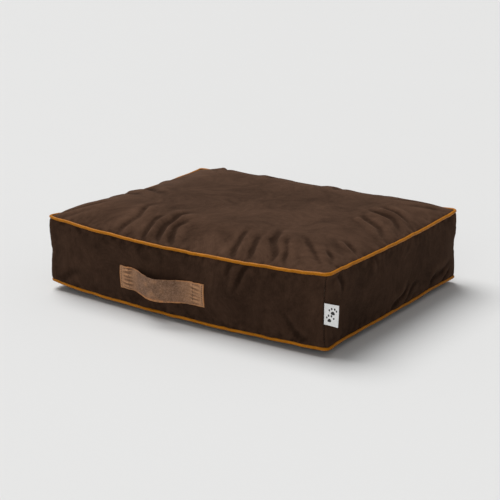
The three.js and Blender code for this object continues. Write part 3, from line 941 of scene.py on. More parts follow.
# Creases: points across the panel in metres, then width and depth as a share of the deepest.
TOP_FOLDS = [
    ([(-0.425, -0.005), (-0.36, -0.035), (-0.29, -0.075), (-0.22, -0.13)], 0.016, 1.0),
    ([(-0.43, -0.095), (-0.36, -0.11), (-0.27, -0.155)], 0.014, 0.55),
    ([(-0.195, -0.345), (-0.185, -0.29), (-0.195, -0.22), (-0.17, -0.17)], 0.012, 0.55),
    ([(-0.115, -0.350), (-0.118, -0.29), (-0.10, -0.235)], 0.011, 0.6),
    ([(-0.060, -0.350), (-0.078, -0.30), (-0.072, -0.24), (-0.03, -0.19)], 0.012, 1.0),
    ([(-0.012, -0.350), (-0.042, -0.30), (-0.030, -0.245)], 0.010, 0.8),
    ([(0.175, -0.348), (0.160, -0.29), (0.158, -0.23)], 0.010, 0.7),
    ([(0.225, -0.345), (0.214, -0.30), (0.205, -0.25)], 0.009, 0.6),
    ([(0.290, -0.330), (0.250, -0.27), (0.226, -0.20)], 0.012, 1.0),
    ([(0.325, -0.332), (0.292, -0.28), (0.262, -0.235)], 0.010, 0.8),
    ([(0.345, 0.025), (0.395, -0.005), (0.442, -0.045)], 0.012, 0.9),
    ([(0.330, 0.085), (0.385, 0.085), (0.442, 0.045)], 0.012, 0.9),
    ([(0.335, 0.135), (0.37, 0.135), (0.435, 0.115)], 0.010, 0.6),
    ([(0.395, -0.155), (0.44, -0.185)], 0.010, 0.6),
    ([(0.405, -0.255), (0.442, -0.285)], 0.010, 0.5),
    ([(-0.10, 0.335), (-0.13, 0.28), (-0.11, 0.22)], 0.013, 0.8),
    ([(0.12, 0.335), (0.10, 0.27), (0.13, 0.21)], 0.013, 0.7),
    ([(0.31, 0.335), (0.27, 0.28), (0.26, 0.23)], 0.012, 0.8),
    ([(-0.32, 0.335), (-0.29, 0.27), (-0.31, 0.22)], 0.012, 0.7),
    ([(-0.44, 0.15), (-0.38, 0.13), (-0.32, 0.14)], 0.012, 0.6),
]
FRONT_FOLDS = [
    ([(0.225, 0.197), (0.206, 0.155), (0.186, 0.112)], 0.008, 0.55),
    ([(0.176, 0.195), (0.161, 0.158)], 0.008, 0.4),
    ([(-0.40, 0.035), (-0.365, 0.07), (-0.30, 0.09)], 0.012, 0.35),
    ([(0.395, 0.03), (0.36, 0.065), (0.33, 0.11)], 0.010, 0.3),
]
RIGHT_FOLDS = [
    ([(-0.020, 0.032), (0.035, 0.056), (0.085, 0.085)], 0.009, 0.75),
    ([(0.036, 0.030), (0.090, 0.062), (0.13, 0.075)], 0.008, 0.5),
    ([(0.200, 0.036), (0.270, 0.064), (0.325, 0.082)], 0.010, 0.8),
    ([(0.262, 0.030), (0.325, 0.058)], 0.009, 0.7),
    ([(-0.300, 0.200), (-0.278, 0.170), (-0.270, 0.14)], 0.008, 0.5),
    ([(-0.12, 0.202), (-0.10, 0.165)], 0.008, 0.35),
]
BACK_FOLDS = [
    ([(0.36, 0.195), (0.33, 0.165), (0.31, 0.145)], 0.010, 0.5),
    ([(-0.36, 0.03), (-0.33, 0.06), (-0.30, 0.08)], 0.010, 0.5),
    ([(-0.05, 0.2), (-0.04, 0.17), (-0.045, 0.15)], 0.010, 0.35),
]
LEFT_FOLDS = [
    ([(-0.29, 0.19), (-0.25, 0.15), (-0.24, 0.11)], 0.010, 0.6),
    ([(0.10, 0.03), (0.06, 0.07), (0.05, 0.11)], 0.010, 0.5),
    ([(0.28, 0.035), (0.24, 0.07), (0.22, 0.10)], 0.010, 0.6),
]


def distance_to_line(plan, line):
    """How far each point (..., 2) is from a line, on which side, and how far along it, 0 to 1."""
    best = np.full(plan.shape[:-1], 1e9)
    side, share = np.zeros_like(best), np.zeros_like(best)
    line = np.array(line)
    lengths = np.linalg.norm(np.diff(line, axis=0), axis=1)
    total, before = lengths.sum(), 0.0
    for start, end, size in zip(line, line[1:], lengths):
        d = (end - start) / size
        t = np.clip((plan - start) @ d, 0, size)
        off = plan - start - t[..., None] * d
        far = np.linalg.norm(off, axis=-1)
        nearer = far < best
        best = np.where(nearer, far, best)
        side = np.where(nearer, np.sign(off[..., 0] * d[1] - off[..., 1] * d[0]), side)
        share = np.where(nearer, (before + t) / total, share)
        before += size
    return best, side, share


def folds_at(plan, folds, deepest):
    """Height of a set of creases at plan points (..., 2): each a valley with a ridge beside it."""
    height = np.zeros(plan.shape[:-1])
    for line, width, share in folds:
        far, side, along = distance_to_line(plan, line)
        x = far * side / width
        valley = -np.exp(-(x * x))
        ridge = 0.75 * np.exp(-((x - 1.7) ** 2) / 1.6) + 0.35 * np.exp(-((x + 1.9) ** 2) / 2.2)
        fade = smooth((1 - along) / 0.6) * smooth(0.35 + along / 0.2)
        height += deepest * share * fade * (valley + ridge)
    return height


def edge_distance(points):
    """How far each point of a grid is from the grid's nearest edge, along the cloth."""
    far = []
    for axis in (0, 1):
        step = np.linalg.norm(np.diff(points, axis=axis), axis=2)
        zero = np.zeros_like(np.take(step, [0], axis=axis))
        run = np.concatenate([zero, np.cumsum(step, axis=axis)], axis=axis)
        last = np.take(run, [-1], axis=axis)
        far.append(np.minimum(run, last - run))
    return far


def puckered(points, amount, seed):
    """Small puckers square to each seam, fading into the cloth."""
    from_ends, from_sides = edge_distance(points)
    normals = grid_normals(points)
    ripple = noise_at(points, 46.0, seed) + 0.6 * noise_at(points, 95.0, seed + 4)
    near = np.exp(-np.minimum(from_ends, from_sides) / 0.022)
    height = amount * ripple * near * 2.2
    height *= smooth(np.minimum(from_ends, from_sides) / 0.006)
    broad = 0.5 * amount * (noise_at(points, 17.0, seed + 9))
    height += broad * smooth(np.minimum(from_ends, from_sides) / 0.03)
    return points + normals * height[..., None]


def tucked(points, held_edges, reach):
    """A grid whose sewn edges stop short of the seam, just inside the piping."""
    out = points.copy()
    for axis, end in held_edges:
        moved = np.moveaxis(out, axis, 0)
        edge, following = (0, 1) if end == 0 else (-1, -2)
        step = moved[following] - moved[edge]
        size = np.linalg.norm(step, axis=-1, keepdims=True)
        moved[edge] += step / size * np.minimum(reach, 0.8 * size)
    return out


def on_floor(points):
    """A panel pressed flat where it lies on the floor."""
    points[..., 2] = np.maximum(points[..., 2], FLOOR_CLEAR)
    return points


def folded(points, folds, plan):
    """A grid with its creases pressed in along its normals."""
    deepest = settings().bed_cover.fold_depth
    at = with_height(plan, np.zeros(plan.shape[:-1]))
    drift = np.stack([noise_at(at, 16.0, seed) for seed in (31.0, 47.0)], axis=-1)
    rough = 1 + 0.8 * noise_at(at, 22.0, 63.0)
    depth = folds_at(plan + 0.011 * drift, folds, deepest) * rough
    from_ends, from_sides = edge_distance(points)
    depth *= smooth(np.minimum(from_ends, from_sides) / 0.02)
    return points + grid_normals(points) * depth[..., None]


def settled(points, held, ease, slack, pressure, most, stiffness):
    cut = gathered(points, ease, slack)
    moved = settle(points, cut, held, pressure, stiffness) - points
    return points + within(moved, most)


@functools.cache
def cover_form():
    """The settled grids of the whole cover, by name."""
    cover = settings().bed_cover
    form = {}
    top = panel_grid(True, cover.cell)
    held = sewn_edge(top.shape[:2])
    top = settled(top, held, cover.ease, cover.slack, cover.pressure, cover.rise, 1.2)
    top = folded(top, TOP_FOLDS, top[..., :2])
    form["top"] = top
    bottom = panel_grid(False, cover.cell * 1.6)
    held = sewn_edge(bottom.shape[:2])
    bottom = settled(bottom, held, cover.ease * 0.7, 0.0, cover.pressure, BOTTOM_RISE, 1.2)
    form["bottom"] = on_floor(bottom)
    creases = {"front": FRONT_FOLDS, "right": RIGHT_FOLDS, "back": BACK_FOLDS, "left": LEFT_FOLDS}
    for side in SIDES:
        wall = wall_grid(side, cover.cell)
        held = sewn_edge(wall.shape[:2])
        if side is BACK:
            zipped = np.abs(wall[..., 2] - MIDDLE) < ZIP_HELD
            held |= zipped & (np.abs(wall[..., 0]) < ZIP_HALF + MOUTH_END)
        push = cover.pressure * 0.7
        wall = settled(wall, held, WALL_EASE, WALL_SLACK, push, WALL_RISE, 1.6)
        plan = wall[..., [0, 2]] if side in (FRONT, BACK) else wall[..., [1, 2]]
        form[side.name] = folded(wall, creases[side.name], plan)
    return form


# ---- from settled grids to pieces ----

COVER = "cover"


def blurred(grid, times):
    """A grid whose points are averaged with their neighbours a number of times."""
    out = grid.copy()
    for _ in range(times):
        for axis in (0, 1):
            p = np.moveaxis(out, axis, 0)
            p[1:-1] = (p[:-2] + 2 * p[1:-1] + p[2:]) / 4
    return out


def crests(grid):
    """Where a grid stands proud of its surroundings, 1, or lies in a crease, -1."""
    proud = ((grid - blurred(grid, 60)) * grid_normals(grid)).sum(axis=-1)
    small = ((grid - blurred(grid, 8)) * grid_normals(grid)).sum(axis=-1)
    return np.tanh(proud / 0.0032 + small / 0.0010)


def put_crests(obj, values):
    """Stores how proud each outer point of a slab stands, for its material to paint highlight on crests and
    shade in hollows.
    """
    layer = obj.data.attributes.new("crest", "FLOAT", "POINT")
    padded = np.zeros(len(obj.data.vertices), np.float32)
    padded[: values.size] = values.ravel()
    layer.data.foreach_set("value", padded)


def cloth_piece(name, grid, seed, material, edges):
    """A panel of the cover: finer, puckered, tucked into its piping, and as thick as the cloth."""
    grid = finer(finer(grid, 0), 1)
    grid = puckered(grid, settings().bed_cover.pucker, seed)
    grid = tucked(grid, edges, WELT * 0.82)
    obj = slab(name, grid, grid - grid_normals(grid) * CLOTH)
    # the crest values drive the velvet's painted highlight and painted shade
    put_crests(obj, crests(grid))
    return dress(obj, material, COVER)


def label_dimple(grid):
    """A wall drawn in a little where the label is sewn into the seam."""
    low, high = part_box("label_tag")
    near_z = np.clip(grid[..., 2], low.z, high.z)
    root = np.stack([np.full(near_z.shape, low.x), np.full(near_z.shape, low.y), near_z], axis=-1)
    near = np.exp(-(np.linalg.norm(grid - root, axis=-1) / DIMPLE_REACH) ** 2)
    inward = -unit(grid * (1, 1, 0))
    return grid + inward * (DIMPLE_DEPTH * near)[..., None]


def corner_seamed(grid):
    """A wall whose ends dip into the upright corner seams."""
    out = label_dimple(grid)
    for end, following in ((0, 1), (-1, -2)):
        inward = -unit(out[end] * (1, 1, 0))
        out[end] += inward * SEAM_DIP
        out[following] += inward * 0.0003
        step = out[following] - out[end]
        out[end] += unit(step) * 0.0002
    return out


def velvet_cloth():
    """Velvet of the top panel, in the pile's own colours."""
    cover = settings().bed_cover
    return velvet("Velvet", tuple(cover.velvet), tuple(cover.brushed), 0.6, 0.16)


def painted_shade_wall_velvet():
    """Velvet of the walls, painted darker than the top's as painted shade."""
    cover = settings().bed_cover
    pile, brushed = [tuple(c * WALL_PAINTED_SHADE for c in full) for full in (cover.velvet, cover.brushed)]
    return velvet("Wall velvet with painted shade", pile, brushed, 0.7, 0.16)


# ---- operators ----


class BED_OT_cover(Operator):
    """Build the top and bottom panels and the front and side bands of the cover"""

    bl_idname = "bed.cover"
    bl_label = "Cover"

    def execute(self, context):
        form = cover_form()
        cover = context.scene.bed_cover
        all_edges = [(0, 0), (0, -1), (1, 0), (1, -1)]
        cloth = velvet_cloth()
        top = cloth_piece("cover_top_panel_cloth", form["top"], 1.0, cloth, all_edges)
        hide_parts("cover_top_panel")
        base = velvet("Base cloth", tuple(cover.base), tuple(cover.velvet), 0.2, 0.1)
        bottom = cloth_piece("cover_bottom_panel_cloth", form["bottom"], 2.0, base, all_edges)
        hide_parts("cover_bottom_panel")
        wall = painted_shade_wall_velvet()
        for side in (FRONT, RIGHT, LEFT):
            grid = corner_seamed(form[side.name])
            name = f"cover_{side.name}_band"
            band = cloth_piece(name + "_cloth", grid, 3.0 + side.half, wall, [(1, 0), (1, -1)])
            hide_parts(name)
        return {"FINISHED"}


def zip_lips(grid):
    """The back wall as an upper and a lower strip that part at the zip's opening."""
    lower, upper = grid[:, : ROWS + 1].copy(), grid[:, ROWS + 1 :].copy()
    open_share = smooth((ZIP_HALF + MOUTH_END - np.abs(grid[:, ROWS, 0])) / MOUTH_END)
    gap = LIP_GAP + (MOUTH - LIP_GAP) * open_share
    for strip, row, sign in ((lower, -1, -1), (upper, 0, 1)):
        strip[:, row, 2] = MIDDLE + sign * gap
        strip[:, row, 1] -= 0.0012 * (1 - open_share)
    return lower, upper


class BED_OT_zip(Operator):
    """Build the back band's two strips and the zip between them"""

    bl_idname = "bed.zip"
    bl_label = "Zip"

    def execute(self, context):
        zip_set = context.scene.bed_zip
        lower, upper = zip_lips(corner_seamed(cover_form()["back"]))
        cloth = painted_shade_wall_velvet()
        for name, grid, edge in (("upper", upper, -1), ("lower", lower, 0)):
            strip = cloth_piece(f"cover_back_band_{name}_cloth", grid, 6.0, cloth, [(1, edge)])
            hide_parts(f"cover_back_band_{name}")
        self.lip_stitches(upper, lower)
        self.tapes(zip_set)
        self.coils(zip_set)
        self.metalwork(zip_set)
        return {"FINISHED"}

    def lip_stitches(self, upper, lower):
        """A row of stitches beside each folded edge of the opening."""
        thread = woven("Band thread", (0.05, 0.03, 0.02), 4000.0)
        pitch = 0.0036
        xs = np.arange(-ZIP_HALF, ZIP_HALF, pitch)
        for name, grid, sign in (("upper", upper, 1), ("lower", lower, -1)):
            face = surface_tree(grid)
            z = MIDDLE + sign * (MOUTH + 0.003)
            places = np.array([cast(face, (x, 1.0, z), (0, -1, 0)) for x in xs])
            row = stitch_row(f"zip_topstitch_{name}", places, (1, 0, 0), (0, 1, 0), pitch * 0.72, 0.0003)
            dress(row, thread, COVER)

    def tapes(self, zip_set):
        """The two tapes, with a rib along each edge."""
        cloth = woven("Zip tape", tuple(zip_set.tape), 5200.0, 0.9)
        for name in ("upper", "lower"):
            low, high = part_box(f"zip_tape_{name}")
            xs = np.linspace(low.x, high.x, 120)
            share = np.linspace(0, 1, 15)
            rib = 0.72 + 0.28 * np.clip(np.cos(share * 2 * math.pi * 2) + 0.3, 0, 1)
            z = low.z + (high.z - low.z) * share
            thick = (high.y - low.y) * rib
            outer = np.array([[(x, low.y + t, h) for t, h in zip(thick, z)] for x in xs])
            inner = outer.copy()
            inner[..., 1] = low.y + (high.y - low.y) * 0.1
            tape = slab(f"zip_tape_{name}_cloth", outer, inner)
            dress(tape, cloth, COVER)
            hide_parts(f"zip_tape_{name}")

    def coils(self, zip_set):
        """The two coils, each a flattened spiral of wire sewn to its tape."""
        plastic = woven("Zip coil", (0.022, 0.014, 0.011), 3000.0, 0.4, 0.2, 0.0)
        for name in ("upper", "lower"):
            low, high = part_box(f"zip_coil_{name}")
            wire = zip_set.wire
            turns = int((high.x - low.x - 2 * wire) / zip_set.pitch)
            turn = np.linspace(0, turns * 2 * math.pi, turns * 9 + 1)
            middle = np.array([0, (low.y + high.y) / 2, (low.z + high.z) / 2])
            half = np.array([(high.y - low.y) / 2 - wire, (high.z - low.z) / 2 - wire])
            path = middle + np.stack(
                [
                    low.x + wire + (high.x - low.x - 2 * wire) * turn / turn[-1],
                    half[0] * np.cos(turn),
                    half[1] * np.sin(turn),
                ],
                axis=1,
            )
            outward = [np.zeros_like(turn), np.cos(turn) * half[1], np.sin(turn) * half[0]]
            across = unit(np.stack(outward, axis=1))
            tangent = unit(np.gradient(path, axis=0))
            up = np.cross(tangent, across)
            coil = sweep(f"zip_coil_{name}_spiral", path, across, up, circle(wire, 5))
            dress(coil, plastic, COVER)
            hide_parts(f"zip_coil_{name}")

    def metalwork(self, zip_set):
        """The slider, stops, link and pull tab."""
        brass = metal("Brass", tuple(zip_set.brass))
        add_bevel(dress_node("zip_slider", brass), 0.00022)
        for name in ("zip_stop_closed_end", "zip_stop_open_end"):
            add_bevel(dress_node(name, brass), 0.0002)
        piping = bpy.context.scene.bed_piping
        tab = dress_node("zip_pull_tab", tan_leather(piping))
        add_bevel(tab, 0.0003)
        low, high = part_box("zip_pull_link")
        wire = 0.0007
        centre = np.array([(low.x + high.x) / 2, (low.y + high.y) / 2, 0.0])
        half = (high.y - low.y) / 2 - wire
        turn = np.linspace(0, 2 * math.pi, 64, endpoint=False)
        end = np.where(np.sin(turn) > 0, high.z - wire - half, low.z + wire + half)
        loop = [np.zeros_like(turn), half * np.cos(turn), end + half * np.sin(turn)]
        path = centre + np.stack(loop, axis=1)
        ring = np.stack([np.zeros_like(turn), np.cos(turn), np.sin(turn)], axis=1)
        up = np.broadcast_to(np.array([1.0, 0, 0]), path.shape)
        link = sweep("zip_pull_link_wire", path, ring, up, circle(wire, 12), closed=True)
        dress(link, brass, "pull")
        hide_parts("zip_pull_link")
        self.tab_stitches()

    def tab_stitches(self):
        """Stitches down both edges of the pull tab, on its outer face."""
        low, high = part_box("zip_pull_tab")
        z = np.arange(high.z - 0.010, low.z + 0.009, -0.0026)
        share = (high.z - z) / (high.z - low.z)
        half = 0.0027 + 0.0022 * share
        middle = (low.x + high.x) / 2
        places = [(middle + sign * h, high.y + 0.0001, t) for sign in (-1, 1) for h, t in zip(half, z)]
        thread = woven("Strap thread", (0.035, 0.020, 0.012), 4000.0)
        row = stitch_row("zip_pull_tab_stitching", np.array(places), (0, 0, 1), (0, 1, 0), 0.0018, 0.00022)
        dress(row, thread, "pull")


def surface_tree(grid):
    """A surface that rays can be cast at."""
    n, m = grid.shape[:2]
    return BVHTree.FromPolygons(grid.reshape(-1, 3).tolist(), grid_faces(n, m).tolist())


def cast(tree, start, direction):
    """Where a ray meets a surface."""
    hit = tree.ray_cast(Vector(start), Vector(direction))
    if hit[0] is None:
        raise RuntimeError(f"no cloth found from {start}")
    return hit[0]


def tan_leather(piping):
    """Leather of the piping and the pull tab."""
    return leather("Tan leather", tuple(piping.leather), tuple(piping.worn), 1.0, 0.5, 0.42, 0.06)


class BED_OT_piping(Operator):
    """Build the leather piping along the top and bottom seams, and the cord inside it"""

    bl_idname = "bed.piping"
    bl_label = "Piping"

    def execute(self, context):
        piping = context.scene.bed_piping
        skin = tan_leather(piping)
        cotton = woven("Cotton cord", (0.70, 0.62, 0.48), 3000.0)
        for name, top in (("top_piping", True), ("bottom_piping", False)):
            path = self.seam_path(top, piping.step)
            across, up = self.frames(path)
            welt = sweep(name + "_welt", path, across, up, self.welt_sections(path))
            dress(welt, skin, COVER)
            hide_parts(name)
            cord = sweep(name + "_core", path[1:-1], across[1:-1], up[1:-1], self.cord_sections(path)[1:-1])
            dress(cord, cotton, COVER)
            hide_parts(name + "_cord")
        return {"FINISHED"}

    def seam_path(self, top, step):
        """The seam line all round, from one side of the butt join in the back to the other."""
        lines = []
        for side in (BACK, LEFT, FRONT, RIGHT, BACK):
            s = stations(side, step)
            if side is BACK and not lines:
                s = np.concatenate([[0.0004], s[s > 0.004]])
            elif side is BACK:
                s = np.concatenate([s[s < -0.004], [-0.0004]])
            line = seam_line(side, s, top)
            lines.append(line if not lines else line[1:])
        return np.concatenate(lines)

    def frames(self, path):
        """Directions out of the bed and up, square to the path."""
        tangent = unit(np.gradient(path, axis=0))
        across = unit(np.cross(tangent, np.array([0.0, 0, 1])))
        return across, np.cross(across, tangent) * -1

    def welt_sections(self, path):
        """The open round section of the leather at each ring, uneven as folded leather is."""
        slot = 0.2
        outer = np.linspace(-math.pi + slot, math.pi - slot, 22)
        inner = outer[::-2]
        around = np.concatenate([outer, inner])
        round_it = 0.92 * WELT
        radius = np.concatenate([np.full(len(outer), round_it), np.full(len(inner), round_it - SKIN)])
        plain = radius[:, None] * np.stack([np.cos(around), np.sin(around)], axis=1)
        uneven = 1 + 0.05 * noise_at(path, 34.0, 2.0) + 0.03 * noise_at(path, 90.0, 6.0)
        return plain[None] * uneven[:, None, None]

    def cord_sections(self, path):
        """Three strands laid together: a lobed section that turns along the cord."""
        around = np.arange(15) * 2 * math.pi / 15
        run = np.concatenate([[0], np.cumsum(np.linalg.norm(np.diff(path, axis=0), axis=1))])
        lobes = 1 + 0.10 * np.cos(3 * (around[None] - run[:, None] * 2 * math.pi / 0.03))
        radius = (WELT - SKIN) * 0.70 * lobes
        return radius[..., None] * np.stack([np.cos(around), np.sin(around)], axis=1)


class BED_OT_strap(Operator):
    """Build the leather carrying strap and its stitching"""

    bl_idname = "bed.strap"
    bl_label = "Strap"

    def execute(self, context):
        strap = context.scene.bed_strap
        tree = surface_tree(finer(finer(cover_form()["front"], 0), 1))
        outer = self.surface(strap, tree)
        normals = grid_normals(outer)
        inner = outer - normals * strap.thickness
        obj = slab("handle_strap", outer, inner)
        # how proud or hollow the strap stands, for its painted highlight and painted shade
        hollows = ((outer - blurred(outer, 6)) * normals).sum(axis=-1)
        put_crests(obj, np.tanh(hollows / 0.0003))
        add_bevel(obj, 0.0005)
        apply_modifiers(obj)
        self.put_map(obj)
        dress(obj, self.strap_leather(strap), None)
        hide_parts("handle_end_left", "handle_grip", "handle_end_right")
        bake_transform(obj)
        self.stitching(outer, normals)
        return {"FINISHED"}

    def surface(self, strap, tree):
        """The strap's outer face: columns along it, rows up it."""
        left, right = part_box("handle_end_left"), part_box("handle_end_right")
        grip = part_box("handle_grip")
        centre_z = (right[0].z + right[1].z) / 2
        width = right[1].z - right[0].z
        xs = np.linspace(left[0].x, right[1].x, 150)
        rows = np.linspace(-0.5, 0.5, 27)
        x, r = np.meshgrid(xs, rows, indexing="ij")
        share = np.clip((x - grip[0].x) / (grip[1].x - grip[0].x), 0, 1) ** 0.93
        profile = (1 - np.cos(2 * math.pi * share)) / 2
        ragged = 0.0009 * noise_at(np.stack([x, r * 0, r * 0 + 0.3], axis=-1), 60.0, 1.0)
        ragged += 0.0006 * noise_at(np.stack([x, r * 0, r * 0 + 0.3], axis=-1), 170.0, 4.0)
        z = centre_z + r * (width + 2 * ragged) - strap.droop * profile
        flat = np.array([
            [cast(tree, (a, -1.0, b), (0, 1, 0)).y for a, b in zip(xa, zb)] for xa, zb in zip(x, z)
        ])
        away = 0.0004 + strap.thickness + strap.bow * profile
        away += self.puckers(x, r, grip)
        return np.stack([x, flat - away, z], axis=-1)

    def puckers(self, x, r, grip):
        """Creases across the sewn ends and a slight cup along the free middle."""
        ends = np.exp(-((x - grip[0].x + 0.010) / 0.013) ** 2)
        ends += 0.6 * np.exp(-((x - grip[1].x - 0.010) / 0.014) ** 2)
        at = np.stack([x * 0.3, r * 0.062, r * 0], axis=-1)
        phase = 2 * math.pi * r * 0.062 / 0.0105 + 5.0 * noise_at(at, 42.0, 7.0)
        waves = (0.5 + 0.5 * np.cos(phase)) ** 2 * (0.15 + 1.8 * np.abs(noise_at(at, 60.0, 2.0)))
        broad = noise_at(np.stack([x, r * 0.062, r * 0], axis=-1), 45.0, 12.0)
        cup = -0.0012 * (4 * r * r) * (1 - ends).clip(0, 1)
        return 0.0040 * ends * waves + 0.0009 * broad + cup

    def put_map(self, obj):
        """Stores each point's place along and up the strap, so that its grain doesn't slide."""
        layer = obj.data.uv_layers.new(name="strap")
        points = np.array([v.co for v in obj.data.vertices])
        for loop in obj.data.loops:
            p = points[loop.vertex_index]
            layer.data[loop.index].uv = (p[0] * 2.0 + 0.5, p[2] * 2.0)

    def strap_leather(self, strap):
        """Distressed leather: rubbed patches, dark stains, lighter cut edges, painted shade in its hollows
        and painted highlight on its ridges.
        """
        finish = {"Roughness": 0.78, "Specular IOR Level": 0.2}
        material, tree, shader, _ = new_material("Brown leather", **finish)
        place = add_node(tree, "UVMap", uv_map="strap").outputs[0]
        vector = stretched(tree, place, (0.5, 0.5, 0.5))
        grain = use_group(tree, grain_group(), vector, Scale=1.5, Wear=1.0)
        dark = tuple(c * 0.55 for c in strap.leather)
        skin = mixed(tree, ramp(tree, grain["Tone"], 0.36, 0.62), dark, tuple(strap.leather))
        skin = mixed(tree, grain["Worn"], skin, tuple(strap.rubbed))
        split = add_node(tree, "SeparateXYZ", {"Vector": place}).outputs
        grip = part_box("handle_grip")
        middle = (grip[0].x + grip[1].x) + 0.5
        from_middle = maths(tree, "ABSOLUTE", maths(tree, "SUBTRACT", split["X"], middle))
        pale = maths(tree, "MULTIPLY", ramp(tree, from_middle, 0.12, 0.25), 0.72)
        skin = mixed(tree, pale, skin, tuple(strap.ends))
        flecks = ramp(tree, noise_node(tree, vector, 210.0, 6.0, 0.9), 0.46, 0.62)
        skin = mixed(tree, maths(tree, "MULTIPLY", flecks, 0.75), skin, tuple(strap.rubbed))
        stains = ramp(tree, noise_node(tree, vector, 240.0, 6.0, 0.9), 0.50, 0.62)
        skin = mixed(tree, maths(tree, "MULTIPLY", stains, 0.8), skin, dark)
        # painted shade in the puckers' hollows and painted highlight on their ridges
        crest = add_node(tree, "Attribute", attribute_name="crest").outputs["Fac"]
        skin = mixed(tree, ramp(tree, crest, -0.2, -1.6), skin, tuple(c * 0.5 for c in strap.leather))
        skin = mixed(tree, ramp(tree, crest, 0.3, 1.6), skin, tuple(strap.ends))
        low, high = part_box("handle_end_right")
        reach = maths(tree, "ABSOLUTE", maths(tree, "SUBTRACT", split["Y"], low.z + high.z))
        edge = ramp(tree, reach, 0.0545, 0.0615)
        edge = maths(tree, "MAXIMUM", edge, ramp(tree, from_middle, 0.2745, 0.2775))
        edge = maths(tree, "MULTIPLY", edge, ramp(tree, grain["Tone"], 0.35, 0.55))
        skin = mixed(tree, edge, skin, tuple(strap.edge))
        tree.links.new(skin, shader.inputs["Base Color"])
        set_bump(tree, shader, grain["Height"], 0.7, 0.0006)
        return material

    def stitching(self, outer, normals):
        """Two upright rows of stitches through each sewn end."""
        thread = woven("Strap thread", (0.035, 0.020, 0.012), 4000.0)
        xs = outer[:, 13, 0]
        for name in ("left", "right"):
            low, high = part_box(f"handle_stitching_{name}")
            at = (low.x + high.x) / 2
            end = xs[0] + 0.006 if name == "left" else xs[-1] - 0.006
            places, facing = [], []
            for x in (at, end):
                column = int(np.argmin(np.abs(xs - x)))
                run = outer[column]
                for share in np.arange(0.07, 0.95, 0.0825):
                    row = share * (len(run) - 1)
                    i = int(row)
                    places.append(run[i] + (run[i + 1] - run[i]) * (row - i))
                    facing.append(normals[column, i])
            piece = f"handle_stitching_{name}_thread"
            row = stitch_row(piece, np.array(places), (0, 0, 1), np.array(facing), 0.0036, 0.0007)
            dress(row, thread, COVER)
            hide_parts(f"handle_stitching_{name}")


# Each paw print's place across and up the label, then each pad's place from it and half its
# width and height in millimetres, the broad pad first.
PAW_PRINTS = [(0.42, 0.24), (0.60, 0.58)]
PAW_PADS = [
    (0.0, 0.0, 4.1, 3.3),
    (-0.17, 0.095, 1.5, 2.1),
    (-0.06, 0.155, 1.6, 2.3),
    (0.08, 0.155, 1.6, 2.3),
    (0.19, 0.095, 1.5, 2.1),
]
PAW_SIZE = 1.35
BROAD_PAD = 3  # half width in millimetres over which a pad is notched like a heel


class BED_OT_label(Operator):
    """Build the woven label in the corner seam"""

    bl_idname = "bed.label"
    bl_label = "Label"

    def execute(self, context):
        given = context.scene.bed_label
        low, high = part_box("label_tag")
        across = np.array([math.cos(LABEL_TILT), math.sin(LABEL_TILT), 0.0])
        facing = np.array([math.sin(LABEL_TILT), -math.cos(LABEL_TILT), 0.0])
        seam = cover_form()["front"][-1]
        beside = seam[np.argmin(np.abs(seam[:, 2] - (low.z + high.z) / 2))]
        root = np.array([max(low.x, beside[0] - 0.0015), min(low.y, beside[1] - 0.0015), low.z])
        width, height = (high.x - low.x) / math.cos(LABEL_TILT), high.z - low.z
        a, b = np.meshgrid(np.linspace(0, 1, 26), np.linspace(0, 1, 40), indexing="ij")
        curl = given.flare * (a ** 2) * (1 - b) ** 2 + 0.0012 * np.sin(a * 3.0) * np.sin(b * 2.2 + 0.6)
        sag = -0.0012 * a ** 2 * (1 - 0.5 * b)
        hem = 0.00018 * (np.exp(-((b - 0.05) / 0.03) ** 2) + np.exp(-((b - 0.95) / 0.03) ** 2))
        face = root + across * (a * width)[..., None] + facing * (curl + hem)[..., None]
        face[..., 2] += b * height + sag
        normals = np.broadcast_to(facing, face.shape)
        tag = slab("label_tag_cloth", face, face - normals * (given.thickness + 2 * hem)[..., None])
        add_bevel(tag, 0.00022)
        apply_modifiers(tag)
        dress(tag, woven("Label satin", tuple(given.satin), 5200.0, 0.55, 0.12, 0.2), None)
        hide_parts("label_tag")
        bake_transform(tag)
        self.paw(face, facing, given)
        return {"FINISHED"}

    def paw(self, face, facing, given):
        """Two embroidered paw prints up the label, each a broad pad under four toes."""
        last = np.array(face.shape[:2]) - 1
        across = unit(face[-1, 20] - face[0, 20])
        points, faces = [], []
        for u, w in PAW_PRINTS:
            for right, up, half_width, half_height in PAW_PADS:
                i = int(round((u + PAW_SIZE * right) * last[0]))
                j = int(round((w + PAW_SIZE * up) * last[1]))
                size = PAW_SIZE * half_width, PAW_SIZE * half_height
                add_paw_pad(points, faces, face[i, j], across, facing, size)
        obj = make_object("label_paw", np.array(points), faces, closed=True)
        dress(obj, woven("Paw thread", tuple(given.motif), 9000.0, 0.6, 0.3, 0.1), "label")


def add_paw_pad(points, faces, middle, across, facing, size):
    """Adds one domed pad of a paw print to a mesh's points and faces."""
    start, rings, around = len(points), 5, 24
    for ring in range(rings):
        share = 1 - ring / rings
        rise = 0.00045 * math.cos(share * math.pi / 2) - 0.0001
        for k in range(around):
            turn = 2 * math.pi * k / around
            dx = size[0] * MM * share * math.cos(turn)
            dz = size[1] * MM * share * math.sin(turn)
            if size[0] > BROAD_PAD:
                dz -= 0.0009 * math.cos(2 * turn) * share
            points.append(middle + across * dx + np.array([0, 0, dz]) + facing * (rise + 0.00012))
    points.append(middle + facing * 0.00047)
    for ring in range(rings - 1):
        for k in range(around):
            a, b = start + ring * around + k, start + ring * around + (k + 1) % around
            faces.append([a, b, b + around, a + around])
    last = start + (rings - 1) * around
    for k in range(around):
        faces.append([last + k, last + (k + 1) % around, len(points) - 1])
    faces.append([start + k for k in range(around)][::-1])


